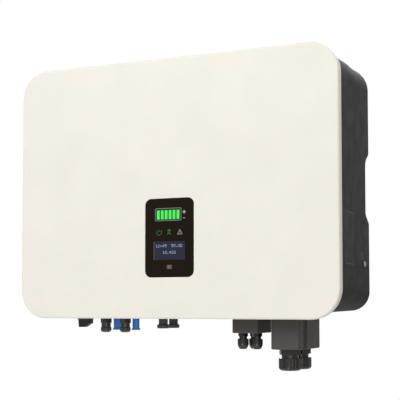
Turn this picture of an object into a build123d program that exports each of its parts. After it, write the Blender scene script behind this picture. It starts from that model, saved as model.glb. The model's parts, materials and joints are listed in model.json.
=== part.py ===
"""Wall-mounted string inverter, modelled piece by piece in millimetres.

X runs along the front, +Y points into the wall and +Z up. The origin is the centre of the
wall bracket's bolt pattern, on the wall. Most pieces are placed by two helper distances:
depth(d) is d behind the front cover's face, and level(h) is h above the cover's lower edge.
"""
from build123d import *
import math
import os

# ---------------------------------------------------------------- driving dimensions
COVER_W = 545.0
COVER_H = 407.0
COVER_R = 46.0
COVER_LIP = 13.0
COVER_FACE = 3.5
COVER_SIDE = 3.0
COVER_EDGE_R = 3.2
UNIT_DEPTH = 178.0
WALL_GAP = 12.0
BOLTS_ABOVE_COVER_FOOT = 250.0
FRONT = -(UNIT_DEPTH + WALL_GAP)
BOTTOM = -BOLTS_ABOVE_COVER_FOOT

# Housing at its front edge and at its rear face: width, lowest level and lower corner radius
HOUSING_FRONT = 14.0
HOUSING_AT_FRONT = (541.0, 9.0, 43.0)
HOUSING_AT_REAR = (537.2, 12.5, 29.5)
# Its crown, which drops by a low step: depth, highest level and upper corner radius
CROWN = ((HOUSING_FRONT, 404.7, 50.5), (107.0, 404.7, 45.4), (117.0, 402.3, 44.6), (UNIT_DEPTH, 402.3, 39.5))
REAR_EDGE_R = 8.0
TONGUE_W = 536.0
TONGUE_LOW = 11.5
TONGUE_HIGH = 403.0
TONGUE_R = 45.0
TONGUE_TOP = 5.0
TONGUE_WALL = 4.0
FLOOR_FRONT = 112.0
FLOOR_REAR = 116.0
LOWER_BAY_DEPTH = 150.0
LOWER_BAY_TOP = 68.0
BAY_WALL = 4.0
LOWER_BAY_W = 470.0
RECESS_W = 520.0
RECESS_LOW = 16.5
RECESS_HIGH = 392.0
RECESS_R = 32.0
LOWER_RECESS_HIGH = 200.0
LOWER_RECESS_R = 24.0
PAD_LEVEL = 9.2
PAD_W = 432.0
PAD_X = -2.0
PAD_D = (26.0, 148.0)
BAY_FLOOR = 15.5
FIT = 0.05

DISPLAY_W = 84.0
DISPLAY_H = 122.5
DISPLAY_R = 10.5
DISPLAY_MID = 125.2
BAR_COUNT = 6
BAR_PITCH = 6.77
BAR_MID_X = -2.1
BAR_W = 4.8
BAR_H = 14.0
BAR_MID = 160.8
ICON_X = (-17.8, -0.2, 18.0)
ICON_MID = 134.5
ICON_R = 4.5
OLED_W = 53.0
OLED_H = 28.0
OLED_MID = 105.2
KEY_W = 9.2
KEY_H = 6.6
KEY_MID = 80.0

FRONT_ROW = 66.0
REAR_ROW = 103.0
SWITCH_X = -188.5
PV_X = (-149.0, -113.0)
COMM_PORT_X = -43.2
VENT_X = 20.0
VENT_D = 85.0

AC_LEFT = 150.5
AC_RIGHT = 197.5
AC_FRONT = 40.0
AC_REAR = 139.0
AC_FOOT = -46.0
AC_GLAND_D = (63.0, 109.5)
SMALL_LEFT = 87.7
SMALL_RIGHT = 130.3
SMALL_FRONT = 40.0
SMALL_REAR = 100.0
SMALL_FOOT = -21.8
SMALL_GLANDS = ((98.2, 60.0), (121.6, 60.0), (109.9, 78.5))
BOX_RIM = 8.2

BRACKET_W = 340.0
BRACKET_H = 100.0
BRACKET_T = 2.5
BOLT_SPACING_X = 250.0
BOLT_SPACING_Z = 60.0
BOLT_HOLE_R = 4.5

SINK_W = 470.0
SINK_LOW = 80.0
SINK_HIGH = 384.0
SINK_BASE = 6.0
FIN_COUNT = 40
FIN_T = 2.2
FIN_TIP = 166.0


def depth(d):
    """The Y of a plane d behind the cover's face."""
    return FRONT + d


def level(h):
    """The Z of a plane h above the cover's lower edge."""
    return BOTTOM + h


def facing(d, x=0.0, h=0.0):
    """A plane across the unit that looks to the front."""
    return Plane(origin=(x, depth(d), level(h)), x_dir=(1, 0, 0), z_dir=(0, -1, 0))


def backing(d, x=0.0, h=0.0):
    """A plane across the unit that looks to the wall."""
    return facing(d, x, h).rotated((180, 0, 0))


def hanging(h, x=0.0, d=0.0):
    """A level plane that looks down."""
    return Plane(origin=(x, depth(d), level(h)), x_dir=(1, 0, 0), z_dir=(0, 0, -1))


def upright(x, d):
    """The plane of a turned profile: its local x is a radius, its local y is the level."""
    return Plane(origin=(x, depth(d), BOTTOM), x_dir=(1, 0, 0), z_dir=(0, -1, 0))


def outline(d):
    """Width, lowest level and lower corner radius of the tapered housing at one depth."""
    share = (d - HOUSING_FRONT) / (UNIT_DEPTH - HOUSING_FRONT)
    return [a + (b - a) * share for a, b in zip(HOUSING_AT_FRONT, HOUSING_AT_REAR)]


def turned(x, d, profile):
    """A solid turned about the vertical line through x and depth d, from (radius, level) points."""
    with BuildPart() as solid:
        with BuildSketch(upright(x, d)):
            with BuildLine():
                Polyline(*profile, close=True)
            make_face()
        revolve(axis=Axis((x, depth(d), 0), (0, 0, 1)))
    return solid.part


def tube_profile(inner, outer, low, high):
    """Four corners of a plain ring's section."""
    return [(inner, low), (outer, low), (outer, high), (inner, high)]


def hex_prism(x, d, corner_r, low, high, bore_r=0.0, turn=0.0):
    """An upright hexagonal prism, bored and turned if asked."""
    with BuildPart() as prism:
        with BuildSketch(Plane.XY.offset(level(low))):
            with Locations((x, depth(d))):
                RegularPolygon(corner_r, 6, rotation=turn)
                if bore_r:
                    Circle(bore_r, mode=Mode.SUBTRACT)
        extrude(amount=high - low)
    return prism.part


def cross_screw(head_r, head_h, shank_r, shank_l):
    """A pan-head screw along +Z: its head's seat is at the origin, its shank goes down."""
    with BuildPart() as screw:
        with BuildSketch(Plane.XZ):
            with BuildLine():
                Polyline((0, head_h), (head_r * 0.55, head_h), (head_r, head_h * 0.4), (head_r, 0),
                         (shank_r, 0), (shank_r, -shank_l), (0, -shank_l), close=True)
            make_face()
        revolve(axis=Axis.Z)
        with BuildSketch(Plane.XY.offset(head_h)):
            Rectangle(head_r * 1.1, head_r * 0.22)
            Rectangle(head_r * 0.22, head_r * 1.1)
        extrude(amount=-head_h * 0.55, mode=Mode.SUBTRACT)
    return screw.part


def inward(h, x, d, up):
    """A plane at a screw's head, whose local z points out of the part."""
    return Plane(origin=(x, depth(d), level(h)), x_dir=(1, 0, 0), z_dir=(0, 0, 1 if up else -1))


# ---------------------------------------------------------------- front cover
COVER_SCREW_X = (-180.0, -60.0, 60.0, 180.0)
COVER_SCREW_D = 8.5
COVER_SCREW_R = 2.0
COVER_HEAD_R = 3.8
LENS_SEAT = 2.2
LENS_LEDGE = 4.0

cover_screw_spots = [(hanging(0, x, COVER_SCREW_D), 11.0) for x in COVER_SCREW_X]
cover_screw_spots += [(inward(COVER_H, x, COVER_SCREW_D, True), 6.5) for x in COVER_SCREW_X]

with BuildPart() as front_cover:
    with BuildSketch(facing(COVER_LIP, h=COVER_H / 2)):
        RectangleRounded(COVER_W, COVER_H, COVER_R)
    extrude(amount=COVER_LIP)
    fillet(front_cover.faces().sort_by(Axis.Y)[0].edges(), COVER_EDGE_R)
    with BuildSketch(facing(COVER_LIP, h=COVER_H / 2)):
        RectangleRounded(COVER_W - 2 * COVER_SIDE, COVER_H - 2 * COVER_SIDE, COVER_R - COVER_SIDE)
    extrude(amount=COVER_LIP - COVER_FACE, mode=Mode.SUBTRACT)
    with BuildSketch(facing(LENS_SEAT, h=DISPLAY_MID)):
        RectangleRounded(DISPLAY_W, DISPLAY_H, DISPLAY_R)
    extrude(amount=LENS_SEAT, mode=Mode.SUBTRACT)
    with BuildSketch(facing(COVER_FACE, h=DISPLAY_MID)):
        RectangleRounded(DISPLAY_W - 2 * LENS_LEDGE, DISPLAY_H - 2 * LENS_LEDGE, DISPLAY_R - LENS_LEDGE)
    extrude(amount=COVER_FACE, mode=Mode.SUBTRACT)
    with Locations(*[plane for plane, _ in cover_screw_spots]):
        CounterSinkHole(COVER_SCREW_R + 0.2, COVER_HEAD_R + 0.2, depth=COVER_SIDE + 1)
front_cover.part.label = "front_cover"

with BuildPart() as cover_gasket:
    with BuildSketch(facing(TONGUE_TOP, h=(TONGUE_LOW + TONGUE_HIGH) / 2)):
        RectangleRounded(TONGUE_W, TONGUE_HIGH - TONGUE_LOW, TONGUE_R)
        RectangleRounded(TONGUE_W - 2 * TONGUE_WALL, TONGUE_HIGH - TONGUE_LOW - 2 * TONGUE_WALL,
                         TONGUE_R - TONGUE_WALL, mode=Mode.SUBTRACT)
    extrude(amount=TONGUE_TOP - COVER_FACE)
cover_gasket.part.label = "cover_gasket"

cover_screw_set = []
for plane, length in cover_screw_spots:
    with BuildPart() as countersunk:
        with BuildSketch(Plane.XZ):
            with BuildLine():
                Polyline((0, 0), (COVER_HEAD_R, 0), (COVER_SCREW_R, COVER_SCREW_R - COVER_HEAD_R),
                         (COVER_SCREW_R, -length), (0, -length), close=True)
            make_face()
        revolve(axis=Axis.Z)
        with BuildSketch(Plane.XY):
            Rectangle(COVER_HEAD_R * 1.1, 0.8)
            Rectangle(0.8, COVER_HEAD_R * 1.1)
        extrude(amount=-1.2, mode=Mode.SUBTRACT)
    cover_screw_set.append(plane.location * countersunk.part)
with BuildPart() as cover_screws:
    add(cover_screw_set)
cover_screws.part.label = "cover_screws"

# ---------------------------------------------------------------- main housing
GRIP_MOUTH = (145.2, 265.2)
GRIP_FLOOR = (162.8, 246.2)
GRIP_DEPTH = 151.0
GRIP_LOWER_R = 8.1
GRIP_CEILING_R = 18.0
GRIP_BROW_R = 11.0
GRIP_BEYOND = 20.0
SLOT_COUNT = 22
SLOT_PITCH = 19.0
SLOT_W = 9.0
OUTLET_D = 143.0
OUTLET_LONG = 44.0
INLET_D = 163.0
INLET_LONG = 15.0
GROUND_D = 138.5
GROUND_H = 84.7
GROUND_PAD_R = 7.0
GROUND_WASHER_R = 4.6
GROUND_HEAD_R = 3.5
GROUND_SCREW_R = 2.0
GROUND_FACE = 269.6
PLATE_D = 58.0
PLATE_H = 121.0
PLATE_W = 50.0
PLATE_TALL = 80.0
PLATE_T = 0.6
SHAFT_HOLE_R = 7.0
PV_HOLE_R = 8.0
PORT_HOLE_R = 6.0
WINDOW_W = 330.0
WINDOW_TALL = 150.0
WINDOW_MID = 255.0
AC_PASSAGE = (30.0, 76.0)
SMALL_PASSAGE = (24.0, 34.0)
SMALL_PASSAGE_D = 66.0
LUG_W = 14.0

side_lean = math.atan2((HOUSING_AT_FRONT[0] - HOUSING_AT_REAR[0]) / 2, UNIT_DEPTH - HOUSING_FRONT)
plate_face = Plane(origin=(outline(PLATE_D)[0] / 2, depth(PLATE_D), level(PLATE_H)), x_dir=(0, 1, 0),
                   z_dir=(math.cos(side_lean), math.sin(side_lean), 0))
ground_face = Plane(origin=(GROUND_FACE, depth(GROUND_D), level(GROUND_H)), x_dir=(0, 1, 0), z_dir=(1, 0, 0))

with BuildPart() as main_housing:
    for d, high, upper_r in CROWN:
        width, low, lower_r = outline(d)
        with BuildSketch(facing(d, h=(low + high) / 2)) as section:
            Rectangle(width, high - low)
            fillet(section.vertices().group_by(Axis.Y)[-1], upper_r)
            fillet(section.vertices().group_by(Axis.Y)[0], lower_r)
    loft(ruled=True)
    fillet(main_housing.faces().sort_by(Axis.Y)[-1].edges(), REAR_EDGE_R)
    # front tongue that the cover closes over, with lugs for the lower cover screws
    with BuildSketch(facing(HOUSING_FRONT, h=(TONGUE_LOW + TONGUE_HIGH) / 2)):
        RectangleRounded(TONGUE_W, TONGUE_HIGH - TONGUE_LOW, TONGUE_R)
    extrude(amount=HOUSING_FRONT - TONGUE_TOP)
    with BuildSketch(facing(HOUSING_FRONT, h=8.0)):
        with Locations(*[(x, 0) for x in COVER_SCREW_X]):
            Rectangle(LUG_W, 9.0)
    extrude(amount=HOUSING_FRONT - TONGUE_TOP)
    # flat machined pad that carries the switch, sockets and boxes
    with BuildSketch(Plane.XY.offset(level(PAD_LEVEL))):
        with Locations((PAD_X, depth(sum(PAD_D) / 2))):
            Rectangle(PAD_W, PAD_D[1] - PAD_D[0])
    extrude(amount=BAY_FLOOR - PAD_LEVEL)
    # bay for the electronics, deeper below the heat sink
    with BuildSketch(facing(FLOOR_FRONT, h=(TONGUE_LOW + TONGUE_HIGH) / 2)):
        RectangleRounded(TONGUE_W - 2 * TONGUE_WALL, TONGUE_HIGH - TONGUE_LOW - 2 * TONGUE_WALL,
                         TONGUE_R - TONGUE_WALL)
    extrude(amount=FLOOR_FRONT - TONGUE_TOP, mode=Mode.SUBTRACT)
    with BuildSketch(facing(LOWER_BAY_DEPTH, h=(BAY_FLOOR + LOWER_BAY_TOP) / 2)):
        Rectangle(LOWER_BAY_W, LOWER_BAY_TOP - BAY_FLOOR)
    extrude(amount=LOWER_BAY_DEPTH - FLOOR_FRONT + 1, mode=Mode.SUBTRACT)
    # rear recess for the heat sink, and the shallow one below it
    with BuildSketch(facing(UNIT_DEPTH, h=(LOWER_BAY_TOP + BAY_WALL + RECESS_HIGH) / 2)):
        RectangleRounded(RECESS_W, RECESS_HIGH - LOWER_BAY_TOP - BAY_WALL, RECESS_R)
    extrude(amount=UNIT_DEPTH - FLOOR_REAR, mode=Mode.SUBTRACT)
    with BuildSketch(facing(UNIT_DEPTH, h=(RECESS_LOW + LOWER_RECESS_HIGH) / 2)):
        RectangleRounded(RECESS_W, LOWER_RECESS_HIGH - RECESS_LOW, LOWER_RECESS_R)
    extrude(amount=UNIT_DEPTH - LOWER_BAY_DEPTH - BAY_WALL, mode=Mode.SUBTRACT)
    # window through the floor for the power modules
    with BuildSketch(facing(FLOOR_REAR, h=WINDOW_MID)):
        RectangleRounded(WINDOW_W, WINDOW_TALL, 6)
    extrude(amount=FLOOR_REAR - FLOOR_FRONT, mode=Mode.SUBTRACT)
    # hand grips: both side skirts are scalloped from the rear, rounded at the floor and at the mouth
    rear = depth(UNIT_DEPTH + FIT)
    with BuildSketch(Plane.YZ) as grip:
        with BuildLine():
            Polyline((rear + GRIP_BEYOND, level(GRIP_MOUTH[0] - GRIP_BEYOND)),
                     (rear, level(GRIP_MOUTH[0] - GRIP_BEYOND)),
                     (rear, level(GRIP_MOUTH[0])), (depth(GRIP_DEPTH), level(GRIP_FLOOR[0])),
                     (depth(GRIP_DEPTH), level(GRIP_FLOOR[1])), (rear, level(GRIP_MOUTH[1])),
                     (rear, level(GRIP_MOUTH[1] + GRIP_BEYOND)),
                     (rear + GRIP_BEYOND, level(GRIP_MOUTH[1] + GRIP_BEYOND)), close=True)
        make_face()
        fillet(grip.vertices().sort_by(Axis.Y)[2:4], GRIP_LOWER_R)
        fillet(grip.vertices().sort_by(Axis.Y)[-4], GRIP_CEILING_R)
        fillet(grip.vertices().sort_by(Axis.Y)[-3], GRIP_BROW_R)
    extrude(amount=COVER_W / 2, both=True, mode=Mode.SUBTRACT)
    # air slots above and below the heat sink
    with BuildSketch(Plane.XY.offset(level(RECESS_HIGH - 4))):
        with Locations((0, depth(OUTLET_D))):
            with GridLocations(SLOT_PITCH, 1, SLOT_COUNT, 1):
                SlotOverall(OUTLET_LONG, SLOT_W, rotation=90)
    extrude(amount=COVER_H - RECESS_HIGH, mode=Mode.SUBTRACT)
    with BuildSketch(Plane.XY.offset(level(0))):
        with Locations((0, depth(INLET_D))):
            with GridLocations(SLOT_PITCH, 1, SLOT_COUNT, 1):
                SlotOverall(INLET_LONG, SLOT_W, rotation=90)
    extrude(amount=RECESS_LOW + 2, mode=Mode.SUBTRACT)
    # holes through the pad
    with BuildSketch(Plane.XY.offset(level(5))):
        with Locations((SWITCH_X, depth(FRONT_ROW))):
            Circle(SHAFT_HOLE_R + FIT)
        with Locations(*[(x, depth(d)) for x in PV_X for d in (FRONT_ROW, REAR_ROW)]):
            Circle(PV_HOLE_R)
        with Locations(*[(COMM_PORT_X, depth(d)) for d in (FRONT_ROW, REAR_ROW)], (VENT_X, depth(VENT_D))):
            Circle(PORT_HOLE_R)
        with Locations(((AC_LEFT + AC_RIGHT) / 2, depth((AC_FRONT + AC_REAR) / 2))):
            RectangleRounded(*AC_PASSAGE, 3)
        with Locations(((SMALL_LEFT + SMALL_RIGHT) / 2, depth(SMALL_PASSAGE_D))):
            RectangleRounded(*SMALL_PASSAGE, 3)
    extrude(amount=BAY_FLOOR - 5 + 1.5, mode=Mode.SUBTRACT)
    # ground pad and the pocket of the rating plate, both on the right side
    with BuildSketch(ground_face):
        Circle(GROUND_PAD_R)
    extrude(amount=-6)
    with BuildSketch(ground_face):
        Circle(GROUND_SCREW_R + FIT)
    extrude(amount=-8, mode=Mode.SUBTRACT)
    with BuildSketch(plate_face):
        RectangleRounded(PLATE_W + 0.6, PLATE_TALL + 0.6, 3)
    extrude(amount=-PLATE_T, mode=Mode.SUBTRACT)
    # tapped holes for the cover screws
    with Locations(*[plane for plane, _ in cover_screw_spots]):
        Hole(COVER_SCREW_R + FIT, depth=14.5)
main_housing.part.label = "main_housing"

with BuildPart() as rating_plate:
    with BuildSketch(plate_face):
        RectangleRounded(PLATE_W, PLATE_TALL, 2.7)
    extrude(amount=-PLATE_T)
rating_plate.part.label = "rating_plate"

with BuildPart() as ground_washer:
    with BuildSketch(ground_face):
        Circle(GROUND_WASHER_R)
        Circle(GROUND_SCREW_R + FIT, mode=Mode.SUBTRACT)
    extrude(amount=1)
ground_washer.part.label = "ground_washer"

with BuildPart() as ground_screw:
    add(ground_face.offset(1).location * cross_screw(GROUND_HEAD_R, 1.7, GROUND_SCREW_R, 8.0))
ground_screw.part.label = "ground_screw"

# ---------------------------------------------------------------- heat sink
SINK_BLOCK_X = 120.0
SINK_BLOCK_W = 44.0
SINK_BLOCK = (285.0, 335.0)
FIN_PITCH = (SINK_W - FIN_T) / (FIN_COUNT - 1)
HANGER_SCREW_H = (297.0, 323.0)
hanger_screw_spots = [(x, h) for x in (-SINK_BLOCK_X, SINK_BLOCK_X) for h in HANGER_SCREW_H]

with BuildPart() as heat_sink:
    with BuildSketch(Plane.XY.offset(level(SINK_LOW))):
        with Locations((0, depth(FLOOR_REAR + SINK_BASE / 2))):
            Rectangle(SINK_W, SINK_BASE)
        with Locations((0, depth((FLOOR_REAR + FIN_TIP) / 2))):
            with GridLocations(FIN_PITCH, 1, FIN_COUNT, 1):
                Rectangle(FIN_T, FIN_TIP - FLOOR_REAR)
    extrude(amount=SINK_HIGH - SINK_LOW)
    # solid blocks between the fins take the hanger's screws
    with BuildSketch(facing(FIN_TIP, h=sum(SINK_BLOCK) / 2)):
        with Locations((-SINK_BLOCK_X, 0), (SINK_BLOCK_X, 0)):
            Rectangle(SINK_BLOCK_W, SINK_BLOCK[1] - SINK_BLOCK[0])
    extrude(amount=FIN_TIP - FLOOR_REAR - SINK_BASE / 2)
    with Locations(*[backing(FIN_TIP, x, h) for x, h in hanger_screw_spots]):
        Hole(3.0 + FIT, depth=14)
heat_sink.part.label = "heat_sink"

# ---------------------------------------------------------------- hanger and wall bracket
HANGER_W = 330.0
HANGER_T = 2.5
HANGER_FOOT = 285.0
HANGER_TOP = 342.0
HOOK_LEVEL = level(300)
BRACKET_LIP_FOOT = 318.0
BRACKET_SHELF = 14.0
HANGER_LIP_D = 180.0
BRACKET_LIP_D = 174.0
LOCK_X = 140.0
LOCK_H = 309.0
ACCESS_SLOT = (50.0, 16.0)
ACCESS_H = 312.0
BRACKET_WINDOW = (150.0, 44.0)

with BuildPart() as hanger_plate:
    with BuildSketch(Plane.YZ) as hanger_section:
        with BuildLine():
            Polyline((depth(FIN_TIP), level(HANGER_FOOT)), (depth(FIN_TIP), level(HANGER_TOP)),
                     (depth(HANGER_LIP_D + HANGER_T), level(HANGER_TOP)),
                     (depth(HANGER_LIP_D + HANGER_T), HOOK_LEVEL), (depth(HANGER_LIP_D), HOOK_LEVEL),
                     (depth(HANGER_LIP_D), level(HANGER_TOP - HANGER_T)),
                     (depth(FIN_TIP + HANGER_T), level(HANGER_TOP - HANGER_T)),
                     (depth(FIN_TIP + HANGER_T), level(HANGER_FOOT)), close=True)
        make_face()
    extrude(amount=HANGER_W / 2, both=True)
    with Locations(*[backing(FIN_TIP + HANGER_T, x, h) for x, h in hanger_screw_spots]):
        Hole(3.3, depth=HANGER_T + 1)
    # access slots in the lip, in line with the hanger screws, and holes for the lock screws
    with BuildSketch(facing(HANGER_LIP_D + 4, h=ACCESS_H)):
        with Locations((-SINK_BLOCK_X, 0), (SINK_BLOCK_X, 0)):
            SlotOverall(*ACCESS_SLOT, rotation=90)
    extrude(amount=6, mode=Mode.SUBTRACT)
    with BuildSketch(facing(HANGER_LIP_D + 4, h=LOCK_H)):
        with Locations((-LOCK_X, 0), (LOCK_X, 0)):
            Circle(2.5 + FIT)
    extrude(amount=6, mode=Mode.SUBTRACT)
hanger_plate.part.label = "hanger_plate"

hanger_screw = cross_screw(5.2, 3.0, 3.0, 13.0)
with BuildPart() as hanger_screws:
    with Locations(*[backing(FIN_TIP + HANGER_T, x, h) for x, h in hanger_screw_spots]):
        add(hanger_screw)
hanger_screws.part.label = "hanger_screws"

with BuildPart() as wall_bracket:
    with BuildSketch(Plane.YZ):
        with BuildLine():
            Polyline((0, -BRACKET_H / 2), (0, BRACKET_H / 2),
                     (depth(BRACKET_LIP_D + BRACKET_T), BRACKET_H / 2),
                     (depth(BRACKET_LIP_D + BRACKET_T), level(BRACKET_LIP_FOOT)),
                     (depth(BRACKET_LIP_D), level(BRACKET_LIP_FOOT)),
                     (depth(BRACKET_LIP_D), BRACKET_H / 2 - BRACKET_T),
                     (-BRACKET_T, BRACKET_H / 2 - BRACKET_T),
                     (-BRACKET_T, -BRACKET_H / 2 + BRACKET_T), (-BRACKET_SHELF, -BRACKET_H / 2 + BRACKET_T),
                     (-BRACKET_SHELF, -BRACKET_H / 2), close=True)
        make_face()
    extrude(amount=BRACKET_W / 2, both=True)
    with BuildSketch(Plane.XZ):
        with GridLocations(BOLT_SPACING_X, BOLT_SPACING_Z, 2, 2):
            Circle(BOLT_HOLE_R)
        RectangleRounded(*BRACKET_WINDOW, 8)
    extrude(amount=10, both=True, mode=Mode.SUBTRACT)
    with BuildSketch(facing(BRACKET_LIP_D + 4, h=LOCK_H)):
        with Locations((-LOCK_X, 0), (LOCK_X, 0)):
            Circle(2.8)
    extrude(amount=6, mode=Mode.SUBTRACT)
wall_bracket.part.label = "wall_bracket"

lock_screw = cross_screw(4.6, 2.8, 2.5, 11.0)
with BuildPart() as lock_screws:
    with Locations(*[facing(BRACKET_LIP_D, x, LOCK_H) for x in (-LOCK_X, LOCK_X)]):
        add(lock_screw)
lock_screws.part.label = "lock_screws"

# ---------------------------------------------------------------- display
LENS_FACE = 0.2
LENS_GAP = 0.2
FRAME_REAR = 6.0
BOARD_D = 12.0
BOARD_T = 1.6
GUIDE_REAR = 8.0
PILLAR = (39.0, 57.0)
bar_spots = [(BAR_MID_X + BAR_PITCH * (i - (BAR_COUNT - 1) / 2), BAR_MID - DISPLAY_MID)
             for i in range(BAR_COUNT)]
icon_spots = [(x, ICON_MID - DISPLAY_MID) for x in ICON_X]
key_spot = (0, KEY_MID - DISPLAY_MID)
oled_spot = (0.5, OLED_MID - DISPLAY_MID)
pillar_spots = [(sx * PILLAR[0], sz * PILLAR[1]) for sx in (-1, 1) for sz in (-1, 1)]

with BuildPart() as display_lens:
    with BuildSketch(facing(LENS_SEAT, h=DISPLAY_MID)):
        RectangleRounded(DISPLAY_W - 0.3, DISPLAY_H - 0.3, DISPLAY_R - 0.15)
        with Locations(key_spot):
            RectangleRounded(KEY_W + 0.6, KEY_H + 0.6, 1.3, mode=Mode.SUBTRACT)
    extrude(amount=LENS_SEAT - LENS_FACE)
    chamfer(display_lens.faces().sort_by(Axis.Y)[0].edges(), 0.2)
display_lens.part.label = "display_lens"

with BuildPart() as display_frame:
    with BuildSketch(facing(FRAME_REAR, h=DISPLAY_MID)):
        RectangleRounded(DISPLAY_W + 8, DISPLAY_H + 8, 8)
    extrude(amount=FRAME_REAR - COVER_FACE)
    with BuildSketch(facing(COVER_FACE, h=DISPLAY_MID)):
        RectangleRounded(DISPLAY_W - 2 * LENS_LEDGE - 0.6, DISPLAY_H - 2 * LENS_LEDGE - 0.6, 6)
    extrude(amount=COVER_FACE - LENS_SEAT - LENS_GAP)
    with BuildSketch(facing(BOARD_D, h=DISPLAY_MID)):
        with Locations(*pillar_spots):
            Circle(3.2)
    extrude(amount=BOARD_D - FRAME_REAR)
    with BuildSketch(facing(FRAME_REAR, h=DISPLAY_MID)):
        with Locations(oled_spot):
            Rectangle(OLED_W, OLED_H)
        with Locations(*bar_spots):
            Rectangle(BAR_W + 0.2, BAR_H + 0.2)
        with Locations(*icon_spots):
            Circle(ICON_R + 0.1)
        with Locations(key_spot):
            RectangleRounded(KEY_W + 0.6, KEY_H + 0.6, 1.3)
    extrude(amount=FRAME_REAR, mode=Mode.SUBTRACT)
    with Locations(*[backing(BOARD_D, x, DISPLAY_MID + z) for x, z in pillar_spots]):
        Hole(1.25 + FIT, depth=6)
display_frame.part.label = "display_frame"

with BuildPart() as oled_module:
    with BuildSketch(facing(FRAME_REAR + 3, h=OLED_MID)):
        with Locations((0.5, 0)):
            Rectangle(OLED_W + 5, OLED_H + 6)
    extrude(amount=3)
    with BuildSketch(facing(FRAME_REAR, h=OLED_MID)):
        with Locations((0.5, 0)):
            Rectangle(OLED_W - 1, OLED_H - 1)
    extrude(amount=1.2)
oled_module.part.label = "oled_module"

with BuildPart() as battery_bars:
    with BuildSketch(facing(GUIDE_REAR, h=DISPLAY_MID)):
        with Locations(*bar_spots):
            Rectangle(BAR_W, BAR_H)
    extrude(amount=GUIDE_REAR - LENS_SEAT - LENS_GAP)
battery_bars.part.label = "battery_bars"

with BuildPart() as status_light_guides:
    with BuildSketch(facing(GUIDE_REAR, h=DISPLAY_MID)):
        with Locations(*icon_spots):
            Circle(ICON_R)
    extrude(amount=GUIDE_REAR - LENS_SEAT - LENS_GAP)
status_light_guides.part.label = "status_light_guides"

with BuildPart() as menu_key:
    with BuildSketch(facing(8.5, h=KEY_MID)):
        RectangleRounded(KEY_W, KEY_H, 1)
    extrude(amount=8.5 - LENS_FACE)
    fillet(menu_key.faces().sort_by(Axis.Y)[0].edges(), 0.5)
    with BuildSketch(facing(7.4, h=KEY_MID)):
        RectangleRounded(KEY_W + 3, KEY_H + 3, 2)
    extrude(amount=1.1)
menu_key.part.label = "menu_key"

with BuildPart() as menu_switch:
    with BuildSketch(facing(BOARD_D, h=KEY_MID)):
        RectangleRounded(6, 6, 0.5)
    extrude(amount=1.8)
    with BuildSketch(facing(BOARD_D - 1.8, h=KEY_MID)):
        Circle(1.7)
    extrude(amount=0.7)
menu_switch.part.label = "menu_switch"

with BuildPart() as display_board:
    with BuildSketch(facing(BOARD_D + BOARD_T, h=DISPLAY_MID)):
        RectangleRounded(DISPLAY_W + 4, DISPLAY_H + 2, 3)
        with Locations(*pillar_spots):
            Circle(1.4, mode=Mode.SUBTRACT)
    extrude(amount=BOARD_T)
display_board.part.label = "display_board"

display_screw = cross_screw(2.4, 1.6, 1.25, 6.5)
with BuildPart() as display_screws:
    with Locations(*[backing(BOARD_D + BOARD_T, x, DISPLAY_MID + z) for x, z in pillar_spots]):
        add(display_screw)
display_screws.part.label = "display_screws"

# ---------------------------------------------------------------- DC switch
KNOB_R = 13.5
KNOB_TOP = 7.8
KNOB_SKIRT = -3.0
KNOB_FOOT = -15.2
KNOB_BAR = 9.0
KNOB_BEVEL = 1.6
SHAFT_R = 4.0
SWITCH_BODY = 46.0

with BuildPart() as dc_switch_plate:
    with BuildSketch(Plane.XY.offset(level(BOX_RIM))):
        with Locations((SWITCH_X, depth(FRONT_ROW))):
            RectangleRounded(42, 42, 5)
            Circle(SHAFT_HOLE_R, mode=Mode.SUBTRACT)
    extrude(amount=PAD_LEVEL - BOX_RIM)
dc_switch_plate.part.label = "dc_switch_plate"

with BuildPart() as dc_switch_knob:
    with BuildSketch(upright(SWITCH_X, FRONT_ROW)):
        with BuildLine():
            Polyline((0, KNOB_SKIRT), (KNOB_R - KNOB_BEVEL, KNOB_SKIRT), (KNOB_R, KNOB_SKIRT + KNOB_BEVEL),
                     (KNOB_R, KNOB_TOP), (SHAFT_R + FIT, KNOB_TOP), (SHAFT_R + FIT, 0), (0, 0), close=True)
        make_face()
    revolve(axis=Axis((SWITCH_X, depth(FRONT_ROW), 0), (0, 0, 1)))
    # grip bar with one high end and one end that slopes back up
    with BuildSketch(upright(SWITCH_X, FRONT_ROW - KNOB_BAR / 2)) as bar:
        with BuildLine():
            Polyline((-KNOB_R + 1.5, KNOB_SKIRT + 2), (-KNOB_R + 3.2, KNOB_FOOT), (0.6, KNOB_FOOT),
                     (KNOB_R - 1.5, -8.5), (KNOB_R - 1.5, KNOB_SKIRT + 2), close=True)
        make_face()
        fillet(bar.vertices().sort_by(Axis.Y)[:2], 1.2)
    extrude(amount=-KNOB_BAR)
    # scalloped rim
    with BuildSketch(Plane.XY.offset(level(KNOB_SKIRT - 1))):
        with Locations((SWITCH_X, depth(FRONT_ROW))):
            with PolarLocations(KNOB_R + 0.9, 12, start_angle=15):
                Circle(1.4)
    extrude(amount=KNOB_TOP - KNOB_SKIRT - 1, mode=Mode.SUBTRACT)
dc_switch_knob.part.label = "dc_switch_knob"

with BuildPart() as dc_switch_shaft:
    with BuildSketch(Plane.XY.offset(level(0.2))):
        with Locations((SWITCH_X, depth(FRONT_ROW))):
            Circle(SHAFT_R)
    extrude(amount=38)
    chamfer(dc_switch_shaft.faces().sort_by(Axis.Z)[-1].edges(), 0.8)
dc_switch_shaft.part.label = "dc_switch_shaft"

with BuildPart() as dc_switch_seal:
    add(turned(SWITCH_X, FRONT_ROW, tube_profile(SHAFT_R + 0.3, SHAFT_HOLE_R, PAD_LEVEL, BAY_FLOOR)))
dc_switch_seal.part.label = "dc_switch_seal"

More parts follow.
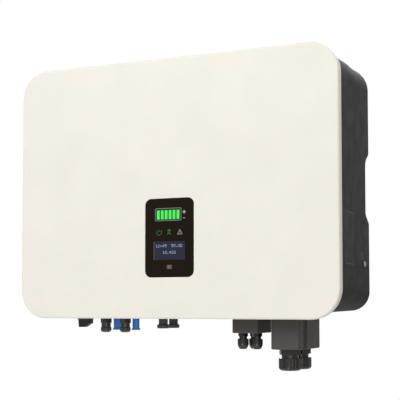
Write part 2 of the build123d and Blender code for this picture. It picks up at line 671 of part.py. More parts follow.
with BuildPart() as dc_switch_body:
    with BuildSketch(Plane.XY.offset(level(BAY_FLOOR))):
        with Locations((SWITCH_X, depth(FRONT_ROW))):
            Circle(14)
    extrude(amount=3)
    with BuildSketch(Plane.XY.offset(level(BAY_FLOOR + 3))):
        with Locations((SWITCH_X, depth(FRONT_ROW))):
            RectangleRounded(SWITCH_BODY, SWITCH_BODY, 3)
    extrude(amount=44)
    with BuildSketch(Plane.XY.offset(level(BAY_FLOOR))):
        with Locations((SWITCH_X, depth(FRONT_ROW))):
            Circle(SHAFT_R + 0.3)
    extrude(amount=26, mode=Mode.SUBTRACT)
    # terminal slots on both sides
    with BuildSketch(facing(FRONT_ROW + SWITCH_BODY / 2, SWITCH_X, BAY_FLOOR + 34)):
        with GridLocations(SWITCH_BODY - 8, 12, 2, 2):
            Rectangle(8, 7)
    extrude(amount=SWITCH_BODY, mode=Mode.SUBTRACT)
dc_switch_body.part.label = "dc_switch_body"

# ---------------------------------------------------------------- PV sockets and caps
PV_COLLAR_R = 10.4
PV_THREAD_R = 7.8
PV_NECK_R = 7.8
PV_SPIGOT_R = 5.0
PV_CAP_R = 8.9
PLUS_COLLAR = -7.9
PLUS_NECK = -14.6
PLUS_FOOT = -23.3
MINUS_COLLAR = 0.5
MINUS_CAP_R = 5.9
MINUS_FLANGE_R = 7.3
MINUS_FOOT = -20.2
THREAD_TOP = 26.0

plus_profile = [(0, PLUS_NECK - 4.6), (PV_SPIGOT_R, PLUS_NECK - 4.6), (PV_SPIGOT_R, PLUS_NECK),
                (PV_NECK_R, PLUS_NECK), (PV_NECK_R, PLUS_COLLAR), (PV_NECK_R + 1, PLUS_COLLAR),
                (PV_NECK_R + 1, PAD_LEVEL), (PV_THREAD_R, PAD_LEVEL), (PV_THREAD_R, THREAD_TOP),
                (0, THREAD_TOP)]
minus_profile = [(0, MINUS_COLLAR - 7), (4.0, MINUS_COLLAR - 7), (4.0, MINUS_COLLAR),
                 (PV_NECK_R + 1, MINUS_COLLAR), (PV_NECK_R + 1, PAD_LEVEL), (PV_THREAD_R, PAD_LEVEL),
                 (PV_THREAD_R, THREAD_TOP), (0, THREAD_TOP)]
plus_cap_profile = [(0, PLUS_FOOT), (PV_CAP_R - 3.6, PLUS_FOOT), (PV_CAP_R - 1.3, PLUS_FOOT + 1.2),
                    (PV_CAP_R, PLUS_FOOT + 3.6), (PV_CAP_R, PLUS_NECK - 1.0),
                    (PV_CAP_R - 0.8, PLUS_NECK - 0.2), (PV_SPIGOT_R + FIT, PLUS_NECK - 0.2),
                    (PV_SPIGOT_R + FIT, PLUS_NECK - 5), (0, PLUS_NECK - 5)]
minus_cap_profile = [(0, MINUS_FOOT), (MINUS_FLANGE_R - 0.5, MINUS_FOOT), (MINUS_FLANGE_R, MINUS_FOOT + 0.5),
                     (MINUS_FLANGE_R, MINUS_FOOT + 2.6), (MINUS_CAP_R, MINUS_FOOT + 2.6),
                     (MINUS_CAP_R, MINUS_COLLAR - 0.2), (4.0 + FIT, MINUS_COLLAR - 0.2),
                     (4.0 + FIT, MINUS_COLLAR - 7.4), (0, MINUS_COLLAR - 7.4)]

with BuildPart() as pv_plus_sockets:
    for x in PV_X:
        add(turned(x, FRONT_ROW, plus_profile))
        add(hex_prism(x, FRONT_ROW, PV_COLLAR_R, PLUS_COLLAR, PAD_LEVEL))
pv_plus_sockets.part.label = "pv_plus_sockets"

with BuildPart() as pv_minus_sockets:
    for x in PV_X:
        add(turned(x, REAR_ROW, minus_profile))
        add(hex_prism(x, REAR_ROW, PV_COLLAR_R, MINUS_COLLAR, PAD_LEVEL))
pv_minus_sockets.part.label = "pv_minus_sockets"

with BuildPart() as pv_plus_caps:
    for x in PV_X:
        add(turned(x, FRONT_ROW, plus_cap_profile))
        with BuildSketch(Plane.XY.offset(level(PLUS_FOOT - 1))):
            with Locations((x, depth(FRONT_ROW))):
                with PolarLocations(PV_CAP_R + 0.4, 14):
                    Circle(1.1)
        extrude(amount=PLUS_NECK - PLUS_FOOT, mode=Mode.SUBTRACT)
pv_plus_caps.part.label = "pv_plus_caps"

with BuildPart() as pv_minus_caps:
    for x in PV_X:
        add(turned(x, REAR_ROW, minus_cap_profile))
        with BuildSketch(Plane.XY.offset(level(MINUS_FOOT - 1))):
            with Locations((x, depth(REAR_ROW))):
                with PolarLocations(MINUS_FLANGE_R + 0.6, 10):
                    Circle(1.2)
        extrude(amount=5, mode=Mode.SUBTRACT)
pv_minus_caps.part.label = "pv_minus_caps"

# ---------------------------------------------------------------- communication ports and vent
PORT_THREAD_R = 5.9
PORT_BODY_R = 7.3
PORT_CAP_R = 9.9
PORT_FOOT = -9.8
PORT_CAP_FOOT = -16.2
PORT_SPIGOT_R = 5.0

port_profile = [(0, PORT_FOOT - 3.5), (PORT_SPIGOT_R, PORT_FOOT - 3.5), (PORT_SPIGOT_R, PORT_FOOT),
                (PORT_BODY_R, PORT_FOOT), (PORT_BODY_R, 5.5), (PORT_BODY_R + 1.6, 5.5),
                (PORT_BODY_R + 1.6, PAD_LEVEL), (PORT_THREAD_R, PAD_LEVEL), (PORT_THREAD_R, THREAD_TOP - 3),
                (0, THREAD_TOP - 3)]
port_cap_profile = [(0, PORT_CAP_FOOT), (PORT_CAP_R - 1.2, PORT_CAP_FOOT), (PORT_CAP_R, PORT_CAP_FOOT + 1.2),
                    (PORT_CAP_R, PORT_FOOT - 1.0), (PORT_CAP_R - 0.8, PORT_FOOT - 0.2),
                    (PORT_SPIGOT_R + FIT, PORT_FOOT - 0.2), (PORT_SPIGOT_R + FIT, PORT_FOOT - 4),
                    (0, PORT_FOOT - 4)]
with BuildPart() as comm_ports:
    for d in (FRONT_ROW, REAR_ROW):
        add(turned(COMM_PORT_X, d, port_profile))
        with BuildSketch(Plane.XY.offset(level(PORT_FOOT - 0.1))):
            with Locations((COMM_PORT_X, depth(d))):
                with PolarLocations(PORT_BODY_R + 0.4, 16):
                    Circle(0.9)
        extrude(amount=14.5, mode=Mode.SUBTRACT)
comm_ports.part.label = "comm_ports"

with BuildPart() as comm_port_caps:
    for d in (FRONT_ROW, REAR_ROW):
        add(turned(COMM_PORT_X, d, port_cap_profile))
        with BuildSketch(Plane.XY.offset(level(PORT_CAP_FOOT - 1))):
            with Locations((COMM_PORT_X, depth(d))):
                with PolarLocations(PORT_CAP_R + 0.5, 18):
                    Circle(0.9)
        extrude(amount=8, mode=Mode.SUBTRACT)
comm_port_caps.part.label = "comm_port_caps"

with BuildPart() as socket_locknuts:
    add([hex_prism(x, d, 12.5, BAY_FLOOR, BAY_FLOOR + 5, PV_THREAD_R + FIT) for x in PV_X
         for d in (FRONT_ROW, REAR_ROW)])
    add([hex_prism(COMM_PORT_X, d, 9.5, BAY_FLOOR, BAY_FLOOR + 4, PORT_THREAD_R + FIT)
         for d in (FRONT_ROW, REAR_ROW)])
socket_locknuts.part.label = "socket_locknuts"

with BuildPart() as vent_valve:
    add(turned(VENT_X, VENT_D, [(0, 3.2), (7.2, 3.2), (8.6, 4.6), (8.6, 7.6), (7.4, PAD_LEVEL),
                                (PORT_THREAD_R, PAD_LEVEL), (PORT_THREAD_R, 21.0), (0, 21.0)]))
    with BuildSketch(Plane.XY.offset(level(4.6))):
        with Locations((VENT_X, depth(VENT_D))):
            with PolarLocations(8.8, 6):
                Rectangle(1.6, 2.4)
    extrude(amount=2.4, mode=Mode.SUBTRACT)
vent_valve.part.label = "vent_valve"

# ---------------------------------------------------------------- cable glands
# Each size: radii of the hexagon's corners, thread, bore, claws, nut, its rim, its opening and the
# cable; then the height of the nut's domed end, how far that bulges, and the nut's inner floor
LARGE = dict(hexagon=17.4, thread=12.4, bore=11.3, claw=13.0, nut=17.4, rim=12.4, mouth=10.3, cable=8.5,
             dome=5.6, bulge=0.30, floor=4.4)
SMALL = dict(hexagon=8.2, thread=5.9, bore=4.7, claw=6.1, nut=8.6, rim=4.9, mouth=4.2, cable=3.0,
             dome=9.0, bulge=0.27, floor=3.4)


NUT_PLAY = 0.15
NUT_EDGE = 0.6
RIB_GROOVE_AT = 1.042
RIB_GROOVE_R = 0.1


def gland_body(size, top, seat, hex_foot, claw_foot):
    """Gland body about the origin: thread above its seat, hexagon, and the claws' sleeve below."""
    with BuildPart() as body:
        add(hex_prism(0, -FRONT, size["hexagon"], hex_foot, seat))
        with BuildSketch(Plane.XZ):
            with BuildLine():
                Polyline((0, level(claw_foot)), (size["claw"] - 1, level(claw_foot)),
                         (size["claw"], level(claw_foot) + 2), (size["claw"], level(seat)),
                         (size["thread"], level(seat)), (size["thread"], level(top)), (0, level(top)),
                         close=True)
            make_face()
        revolve(axis=Axis.Z)
        with BuildSketch(Plane.XY.offset(level(claw_foot))):
            Circle(size["bore"])
        extrude(amount=top - claw_foot, mode=Mode.SUBTRACT)
    return body.part


def gland_nut(size, high, foot, ribs):
    """Ribbed clamping nut about the origin, with a domed lower end."""
    outer, rim, dome = size["nut"], size["rim"], size["dome"]
    claw = size["claw"] + NUT_PLAY
    end, floor = level(foot), level(foot) + size["floor"]
    run = math.hypot(outer - rim, dome)
    middle = ((outer + rim) / 2 + size["bulge"] * dome * (outer - rim) / run,
              end + dome / 2 - size["bulge"] * (outer - rim) ** 2 / run)
    with BuildPart() as nut:
        with BuildSketch(Plane.XZ):
            with BuildLine():
                ThreePointArc((rim, end), middle, (outer, end + dome))
                Polyline((outer, end + dome), (outer, level(high) - NUT_EDGE),
                         (outer - NUT_EDGE, level(high)), (claw, level(high)), (claw, floor),
                         (size["mouth"], floor), (size["mouth"], end),
                         (rim, end))
            make_face()
        revolve(axis=Axis.Z)
        with BuildSketch(Plane.XY.offset(end + dome / 2)):
            with PolarLocations(outer * RIB_GROOVE_AT, ribs):
                Circle(outer * RIB_GROOVE_R)
        extrude(amount=level(high) - end, mode=Mode.SUBTRACT)
    return nut.part


def gland_seal(size, high, low):
    """Rubber seal ring about the origin, which grips the cable."""
    with BuildPart() as seal:
        with BuildSketch(Plane.XY.offset(level(low))):
            Circle(size["bore"] - FIT)
            Circle(size["cable"], mode=Mode.SUBTRACT)
        extrude(amount=high - low)
    return seal.part


AC_MID_X = (AC_LEFT + AC_RIGHT) / 2
AC_WALL = 4.0
AC_HEX_FOOT = -54.0
AC_NUT_TOP = -59.3
AC_NUT_FOOT = -78.0
ac_gland_spots = [(AC_MID_X, depth(d)) for d in AC_GLAND_D]
large_body = gland_body(LARGE, AC_FOOT + 13, AC_FOOT, AC_HEX_FOOT, -73.5)
large_nut = gland_nut(LARGE, AC_NUT_TOP, AC_NUT_FOOT, 16)
large_seal = gland_seal(LARGE, -58.0, -73.5)
ac_places = [(AC_MID_X, depth(d), 0) for d in AC_GLAND_D]

with BuildPart() as ac_gland_bodies:
    with Locations(*ac_places):
        add(large_body)
ac_gland_bodies.part.label = "ac_gland_bodies"

with BuildPart() as ac_gland_nuts:
    with Locations(*ac_places):
        add(large_nut)
ac_gland_nuts.part.label = "ac_gland_nuts"

with BuildPart() as ac_gland_seals:
    with Locations(*ac_places):
        add(large_seal)
ac_gland_seals.part.label = "ac_gland_seals"

SMALL_WALL = 2.2
SMALL_HEX_FOOT = -27.0
SMALL_NUT_TOP = -30.6
SMALL_NUT_FOOT = -46.5
small_places = [(x, depth(d), 0) for x, d in SMALL_GLANDS]
small_body = gland_body(SMALL, SMALL_FOOT + 8, SMALL_FOOT, SMALL_HEX_FOOT, -42.5)
small_nut = gland_nut(SMALL, SMALL_NUT_TOP, SMALL_NUT_FOOT, 12)
small_seal = gland_seal(SMALL, -31.0, -42.4)

with BuildPart() as comm_gland_bodies:
    with Locations(*small_places):
        add(small_body)
comm_gland_bodies.part.label = "comm_gland_bodies"

with BuildPart() as comm_gland_nuts:
    with Locations(*small_places):
        add(small_nut)
comm_gland_nuts.part.label = "comm_gland_nuts"

with BuildPart() as comm_gland_seals:
    with Locations(*small_places):
        add(small_seal)
comm_gland_seals.part.label = "comm_gland_seals"

with BuildPart() as gland_locknuts:
    add([hex_prism(AC_MID_X, d, 16.5, AC_FOOT + AC_WALL, AC_FOOT + AC_WALL + 6, LARGE["thread"] + FIT)
         for d in AC_GLAND_D])
    add([hex_prism(x, d, 7.3, SMALL_FOOT + SMALL_WALL, SMALL_FOOT + SMALL_WALL + 3, SMALL["thread"] + FIT, 30)
         for x, d in SMALL_GLANDS])
gland_locknuts.part.label = "gland_locknuts"

# ---------------------------------------------------------------- wiring boxes below the housing
AC_CORNER_R = 5.5
AC_CAVITY_W = 38.0
AC_CHANNEL_D = (54.0, 74.0)
AC_CHANNEL = 3.0
AC_SCREW_IN = 5.0
ac_screw_spots = [(x, depth(d)) for x in (AC_LEFT + AC_SCREW_IN, AC_RIGHT - AC_SCREW_IN)
                  for d in (AC_FRONT + AC_SCREW_IN, AC_REAR - AC_SCREW_IN)]
ac_centre = (AC_MID_X, depth((AC_FRONT + AC_REAR) / 2))

with BuildPart() as ac_box:
    with BuildSketch(Plane.XY.offset(level(AC_FOOT))):
        with Locations(ac_centre):
            RectangleRounded(AC_RIGHT - AC_LEFT, AC_REAR - AC_FRONT, AC_CORNER_R)
    extrude(amount=BOX_RIM - AC_FOOT)
    fillet(ac_box.faces().sort_by(Axis.Z)[0].edges(), 2.2)
    # shallow upright channels in both long sides
    with BuildSketch(Plane.XY.offset(level(AC_FOOT - 1))):
        with Locations(*[(x, depth(sum(AC_CHANNEL_D) / 2)) for x in (AC_LEFT, AC_RIGHT)]):
            RectangleRounded(2 * AC_CHANNEL, AC_CHANNEL_D[1] - AC_CHANNEL_D[0], 1.5)
    extrude(amount=BOX_RIM - AC_FOOT - 8, mode=Mode.SUBTRACT)
    with BuildSketch(Plane.XY.offset(level(AC_FOOT + AC_WALL))):
        with Locations(ac_centre):
            RectangleRounded(AC_CAVITY_W, AC_REAR - AC_FRONT - 8, 3)
        with Locations(*ac_screw_spots):
            Circle(5, mode=Mode.SUBTRACT)
    extrude(amount=BOX_RIM - AC_FOOT - AC_WALL, mode=Mode.SUBTRACT)
    with BuildSketch(Plane.XY.offset(level(AC_FOOT))):
        with Locations(*ac_gland_spots):
            Circle(LARGE["thread"] + FIT)
        with Locations(*ac_screw_spots):
            Circle(2.3)
    extrude(amount=BOX_RIM - AC_FOOT, mode=Mode.SUBTRACT)
    with BuildSketch(Plane.XY.offset(level(AC_FOOT))):
        with Locations(*ac_screw_spots):
            Circle(3.9)
    extrude(amount=4, mode=Mode.SUBTRACT)
ac_box.part.label = "ac_box"

small_screw_spots = [(x, depth(SMALL_REAR - 6.5)) for x in (SMALL_LEFT + 6.5, SMALL_RIGHT - 6.5)]
small_centre = ((SMALL_LEFT + SMALL_RIGHT) / 2, depth((SMALL_FRONT + SMALL_REAR) / 2))

with BuildPart() as comm_box:
    with BuildSketch(Plane.XY.offset(level(SMALL_FOOT))):
        with Locations(small_centre):
            RectangleRounded(SMALL_RIGHT - SMALL_LEFT, SMALL_REAR - SMALL_FRONT, 3)
    extrude(amount=BOX_RIM - SMALL_FOOT)
    fillet(comm_box.faces().sort_by(Axis.Z)[0].edges(), 1.8)
    with BuildSketch(Plane.XY.offset(level(SMALL_FOOT + SMALL_WALL))):
        with Locations(small_centre):
            RectangleRounded(SMALL_RIGHT - SMALL_LEFT - 2 * SMALL_WALL,
                             SMALL_REAR - SMALL_FRONT - 2 * SMALL_WALL, 2)
        with Locations(*small_screw_spots):
            Circle(4.6, mode=Mode.SUBTRACT)
    extrude(amount=BOX_RIM - SMALL_FOOT - SMALL_WALL, mode=Mode.SUBTRACT)
    with BuildSketch(Plane.XY.offset(level(SMALL_FOOT))):
        with Locations(*[(x, depth(d)) for x, d in SMALL_GLANDS]):
            Circle(SMALL["thread"] + FIT)
        with Locations(*small_screw_spots):
            Circle(2.0)
    extrude(amount=BOX_RIM - SMALL_FOOT, mode=Mode.SUBTRACT)
    with BuildSketch(Plane.XY.offset(level(SMALL_FOOT))):
        with Locations(*small_screw_spots):
            Circle(3.4)
    extrude(amount=3.2, mode=Mode.SUBTRACT)
comm_box.part.label = "comm_box"

ac_box_screw = cross_screw(3.5, 2.4, 2.0, BOX_RIM - AC_FOOT - 4)
comm_box_screw = cross_screw(3.1, 2.0, 1.75, BOX_RIM - SMALL_FOOT - 3.2)
with BuildPart() as box_screws:
    with Locations(*[hanging(AC_FOOT + 4, x, y - FRONT) for x, y in ac_screw_spots]):
        add(ac_box_screw)
    with Locations(*[hanging(SMALL_FOOT + 3.2, x, y - FRONT) for x, y in small_screw_spots]):
        add(comm_box_screw)
box_screws.part.label = "box_screws"

with BuildPart() as box_gaskets:
    with BuildSketch(Plane.XY.offset(level(BOX_RIM))):
        with Locations(ac_centre):
            RectangleRounded(AC_RIGHT - AC_LEFT - 1, AC_REAR - AC_FRONT - 1, AC_CORNER_R - 0.5)
            RectangleRounded(AC_PASSAGE[0] + 2, AC_PASSAGE[1] + 4, 3, mode=Mode.SUBTRACT)
        with Locations(small_centre):
            RectangleRounded(SMALL_RIGHT - SMALL_LEFT - 1, SMALL_REAR - SMALL_FRONT - 1, 3)
        with Locations((small_centre[0], depth(SMALL_PASSAGE_D))):
            RectangleRounded(SMALL_PASSAGE[0] + 2, SMALL_PASSAGE[1] + 2, 3, mode=Mode.SUBTRACT)
    extrude(amount=PAD_LEVEL - BOX_RIM)
box_gaskets.part.label = "box_gaskets"

# ---------------------------------------------------------------- electronics
BOARD_FRONT = 101.0
BOARD_REAR = 103.0
BOARD_W = 430.0
BOARD_TALL = 190.0
MODULE_X = (-100.0, 0.0, 100.0)
MODULE_W = 62.0
MODULE_TALL = 108.0
PAD_T = 0.5
CONTROL_D = 44.0
CONTROL_MID = 290.0
CONTROL_T = 1.6

with BuildPart() as thermal_pads:
    with BuildSketch(facing(FLOOR_REAR, h=WINDOW_MID)):
        with Locations(*[(x, 0) for x in MODULE_X]):
            Rectangle(MODULE_W + 2, MODULE_TALL + 2)
    extrude(amount=PAD_T)
thermal_pads.part.label = "thermal_pads"

with BuildPart() as power_modules:
    with BuildSketch(facing(FLOOR_REAR - PAD_T, h=WINDOW_MID)):
        with Locations(*[(x, 0) for x in MODULE_X]):
            RectangleRounded(MODULE_W, MODULE_TALL, 3)
    extrude(amount=FLOOR_REAR - PAD_T - BOARD_REAR)
power_modules.part.label = "power_modules"

standoff_spots = [(x, z) for x in (-205.0, -60.0, 60.0, 205.0) for z in (-85.0, 85.0)]
control_post_spots = [(x, z) for x in (-118.0, 118.0) for z in (-33.0, 57.0)]
with BuildPart() as board_standoffs:
    with BuildSketch(facing(FLOOR_FRONT, h=WINDOW_MID)):
        with Locations(*standoff_spots):
            RegularPolygon(4.5, 6)
    extrude(amount=FLOOR_FRONT - BOARD_REAR)
    with BuildSketch(facing(BOARD_FRONT, h=CONTROL_MID)):
        with Locations(*control_post_spots):
            RegularPolygon(4.5, 6)
    extrude(amount=BOARD_FRONT - CONTROL_D - CONTROL_T)
board_standoffs.part.label = "board_standoffs"

with BuildPart() as power_board:
    with BuildSketch(facing(BOARD_REAR, h=WINDOW_MID)):
        RectangleRounded(BOARD_W, BOARD_TALL, 4)
    extrude(amount=BOARD_REAR - BOARD_FRONT)
power_board.part.label = "power_board"

with BuildPart() as dc_link_capacitors:
    with BuildSketch(facing(BOARD_FRONT, h=WINDOW_MID - 55)):
        with GridLocations(40, 1, 6, 1):
            Circle(17)
    extrude(amount=50)
    fillet(dc_link_capacitors.faces().group_by(Axis.Y)[0].edges(), 2)
dc_link_capacitors.part.label = "dc_link_capacitors"

with BuildPart() as power_relays:
    with BuildSketch(facing(BOARD_FRONT, x=180, h=WINDOW_MID)):
        with GridLocations(26, 36, 2, 3):
            RectangleRounded(20, 30, 1)
    extrude(amount=24)
power_relays.part.label = "power_relays"

INDUCTOR_H = 112.0
with BuildPart() as boost_inductors:
    with BuildSketch(facing(FLOOR_FRONT, x=-170, h=INDUCTOR_H)):
        with GridLocations(78, 1, 2, 1):
            RectangleRounded(70, 64, 6)
    extrude(amount=56)
    fillet(boost_inductors.faces().group_by(Axis.Y)[0].edges(), 2)
boost_inductors.part.label = "boost_inductors"

with BuildPart() as filter_inductors:
    with BuildSketch(facing(FLOOR_FRONT, x=80, h=INDUCTOR_H)):
        with GridLocations(74, 1, 3, 1):
            Circle(33)
            Circle(13, mode=Mode.SUBTRACT)
    extrude(amount=34)
    fillet(filter_inductors.edges().filter_by(GeomType.CIRCLE), 4)
filter_inductors.part.label = "filter_inductors"

with BuildPart() as control_board:
    with BuildSketch(facing(CONTROL_D + CONTROL_T, h=CONTROL_MID)):
        RectangleRounded(250, 130, 4)
    extrude(amount=CONTROL_T)
    with BuildSketch(facing(CONTROL_D, h=CONTROL_MID)):
        with Locations((-60, 10), (40, -20)):
            Rectangle(24, 24)
        with Locations((0, 50), (85, 45)):
            Rectangle(40, 10)
    extrude(amount=3)
control_board.part.label = "control_board"

with BuildPart() as ac_terminal_block:
    with BuildSketch(Plane.XY.offset(level(BAY_FLOOR + 4))):
        with Locations((AC_MID_X, depth((AC_FRONT + AC_REAR) / 2))):
            Rectangle(34, 82)
    extrude(amount=24)
    with BuildSketch(Plane.XY.offset(level(BAY_FLOOR + 4))):
        with Locations((AC_MID_X, depth((AC_FRONT + AC_REAR) / 2))):
            with GridLocations(1, 16, 1, 5):
                Rectangle(14, 11)
    extrude(amount=14, mode=Mode.SUBTRACT)
ac_terminal_block.part.label = "ac_terminal_block"

with BuildPart() as comm_terminal_block:
    with BuildSketch(Plane.XY.offset(level(BAY_FLOOR + 4))):
        with Locations((small_centre[0], depth(SMALL_PASSAGE_D))):
            Rectangle(28, 40)
    extrude(amount=14)
    with BuildSketch(Plane.XY.offset(level(BAY_FLOOR + 4))):
        with Locations((small_centre[0], depth(SMALL_PASSAGE_D))):
            with GridLocations(10, 6, 2, 6):
                Rectangle(5, 3.5)
    extrude(amount=8, mode=Mode.SUBTRACT)
comm_terminal_block.part.label = "comm_terminal_block"

# ---------------------------------------------------------------- ribbon cable
RIBBON_W = 26.0
RIBBON_T = 1.0
with BuildPart() as ribbon_cable:
    with BuildSketch(Plane.YZ):
        with BuildLine():
            FilletPolyline((depth(BOARD_D + BOARD_T), level(165)), (depth(30), level(165)),
                           (depth(30), level(245)), (depth(CONTROL_D), level(245)), radius=6)
        trace(line_width=RIBBON_T)
    extrude(amount=RIBBON_W / 2, both=True)
ribbon_cable.part.label = "ribbon_cable"

# ---------------------------------------------------------------- circulation fan
FAN_D = 68.0
FAN_SIZE = 60.0
FAN_T = 15.0
FAN_FOOT = 370.0
ROTOR_R = 26.5
HUB_R = 11.0

with BuildPart() as fan_frame:
    with BuildSketch(Plane.XY.offset(level(FAN_FOOT))):
        with Locations((0, depth(FAN_D))):
            RectangleRounded(FAN_SIZE, FAN_SIZE, 3)
            Circle(ROTOR_R + 1.2, mode=Mode.SUBTRACT)
    extrude(amount=FAN_T)
    with BuildSketch(Plane.XY.offset(level(FAN_FOOT))):
        with Locations((0, depth(FAN_D))):
            Circle(HUB_R)
            Rectangle(FAN_SIZE - 2, 4)
            Rectangle(4, FAN_SIZE - 2)
    extrude(amount=2.4)
    with BuildSketch(Plane.XY.offset(level(FAN_FOOT + 2.4))):
        with Locations((0, depth(FAN_D))):
            Circle(3)
    extrude(amount=9)
    # mounting strap back to the housing floor
    with BuildSketch(facing(FLOOR_FRONT, h=FAN_FOOT + 3)):
        Rectangle(40, 6)
    extrude(amount=FLOOR_FRONT - FAN_D - FAN_SIZE / 2 + 2)
fan_frame.part.label = "fan_frame"

with BuildPart() as fan_rotor:
    with BuildSketch(Plane.XY.offset(level(FAN_FOOT + 3.4))):
        with Locations((0, depth(FAN_D))):
            Circle(HUB_R)
    extrude(amount=10.5)
    with Locations((0, depth(FAN_D), level(FAN_FOOT + 8.6))):
        with PolarLocations((HUB_R + ROTOR_R) / 2 - 0.4, 7):
            Box(ROTOR_R - HUB_R, 1.4, 11, rotation=(38, 0, 0))
    with BuildSketch(Plane.XY.offset(level(FAN_FOOT + 3.4))):
        with Locations((0, depth(FAN_D))):
            Circle(3.3)
    extrude(amount=8.5, mode=Mode.SUBTRACT)
fan_rotor.part.label = "fan_rotor"

# ---------------------------------------------------------------- files
os.makedirs("parts", exist_ok=True)
pieces = [front_cover, cover_gasket, cover_screws, main_housing, rating_plate, ground_washer, ground_screw,
          heat_sink, hanger_plate, hanger_screws, wall_bracket, lock_screws, display_lens, display_frame,
          oled_module, battery_bars, status_light_guides, menu_key, menu_switch, display_board, display_screws,
          dc_switch_plate, dc_switch_knob, dc_switch_shaft, dc_switch_seal, dc_switch_body, pv_plus_sockets,
          pv_minus_sockets, pv_plus_caps, pv_minus_caps, comm_ports, comm_port_caps, socket_locknuts,
          vent_valve, ac_box, comm_box, box_gaskets, box_screws, ac_gland_bodies, ac_gland_nuts,
          ac_gland_seals, comm_gland_bodies, comm_gland_nuts, comm_gland_seals, gland_locknuts, thermal_pads,
          power_modules, board_standoffs, power_board, dc_link_capacitors, power_relays, boost_inductors,
          filter_inductors, control_board, ac_terminal_block, comm_terminal_block, ribbon_cable, fan_frame,
          fan_rotor]
for piece in pieces:
    export_step(piece.part, f"parts/{piece.part.label}.step")
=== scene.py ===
import json
import math

import bmesh
import bpy
from mathutils import Matrix, Vector
from mathutils.bvhtree import BVHTree


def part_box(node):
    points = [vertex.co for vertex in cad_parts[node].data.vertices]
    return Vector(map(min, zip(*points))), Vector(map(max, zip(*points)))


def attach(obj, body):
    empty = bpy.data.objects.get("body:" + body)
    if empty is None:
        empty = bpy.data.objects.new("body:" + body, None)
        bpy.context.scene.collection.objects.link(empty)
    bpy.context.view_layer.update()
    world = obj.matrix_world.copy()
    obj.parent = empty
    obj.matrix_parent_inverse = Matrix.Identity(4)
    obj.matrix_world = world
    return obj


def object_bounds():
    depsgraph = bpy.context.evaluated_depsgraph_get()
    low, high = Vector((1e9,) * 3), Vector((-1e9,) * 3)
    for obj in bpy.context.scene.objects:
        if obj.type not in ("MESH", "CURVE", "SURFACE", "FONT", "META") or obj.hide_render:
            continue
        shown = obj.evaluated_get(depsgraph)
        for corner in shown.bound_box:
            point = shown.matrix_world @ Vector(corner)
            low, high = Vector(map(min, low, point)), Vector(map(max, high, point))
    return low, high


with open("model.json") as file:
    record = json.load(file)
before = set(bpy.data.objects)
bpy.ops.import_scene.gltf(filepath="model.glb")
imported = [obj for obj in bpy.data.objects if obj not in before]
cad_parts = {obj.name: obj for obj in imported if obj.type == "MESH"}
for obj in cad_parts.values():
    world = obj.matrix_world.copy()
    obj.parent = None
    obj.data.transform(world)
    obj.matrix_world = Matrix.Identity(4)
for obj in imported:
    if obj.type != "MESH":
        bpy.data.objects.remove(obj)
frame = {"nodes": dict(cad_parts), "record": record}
cad_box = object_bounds()

# String inverter. Lengths in calls are millimetres unless a name says otherwise; spot() turns them
# into the frame's metres. Its x is across the front, d is the depth behind the cover's face and h
# is the height above the cover's lower edge.
MM = 0.001
FACE_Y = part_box("front_cover")[0].y
FOOT_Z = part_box("front_cover")[0].z


def spot(x, d, h):
    """The point in the frame, in metres."""
    return Vector((x * MM, FACE_Y + d * MM, FOOT_Z + h * MM))


def middle(node):
    """x, d and h of the middle of a CAD node, in millimetres."""
    low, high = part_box(node)
    centre = (low + high) / 2
    return centre.x / MM, (centre.y - FACE_Y) / MM, (centre.z - FOOT_Z) / MM


# ---------------------------------------------------------------- materials
def srgb(red, green, blue):
    """A linear colour from the 0-255 values a screen shows."""
    shown = [v / 255 for v in (red, green, blue)]
    return tuple(v / 12.92 if v < 0.04 else ((v + 0.055) / 1.055) ** 2.4 for v in shown) + (1.0,)


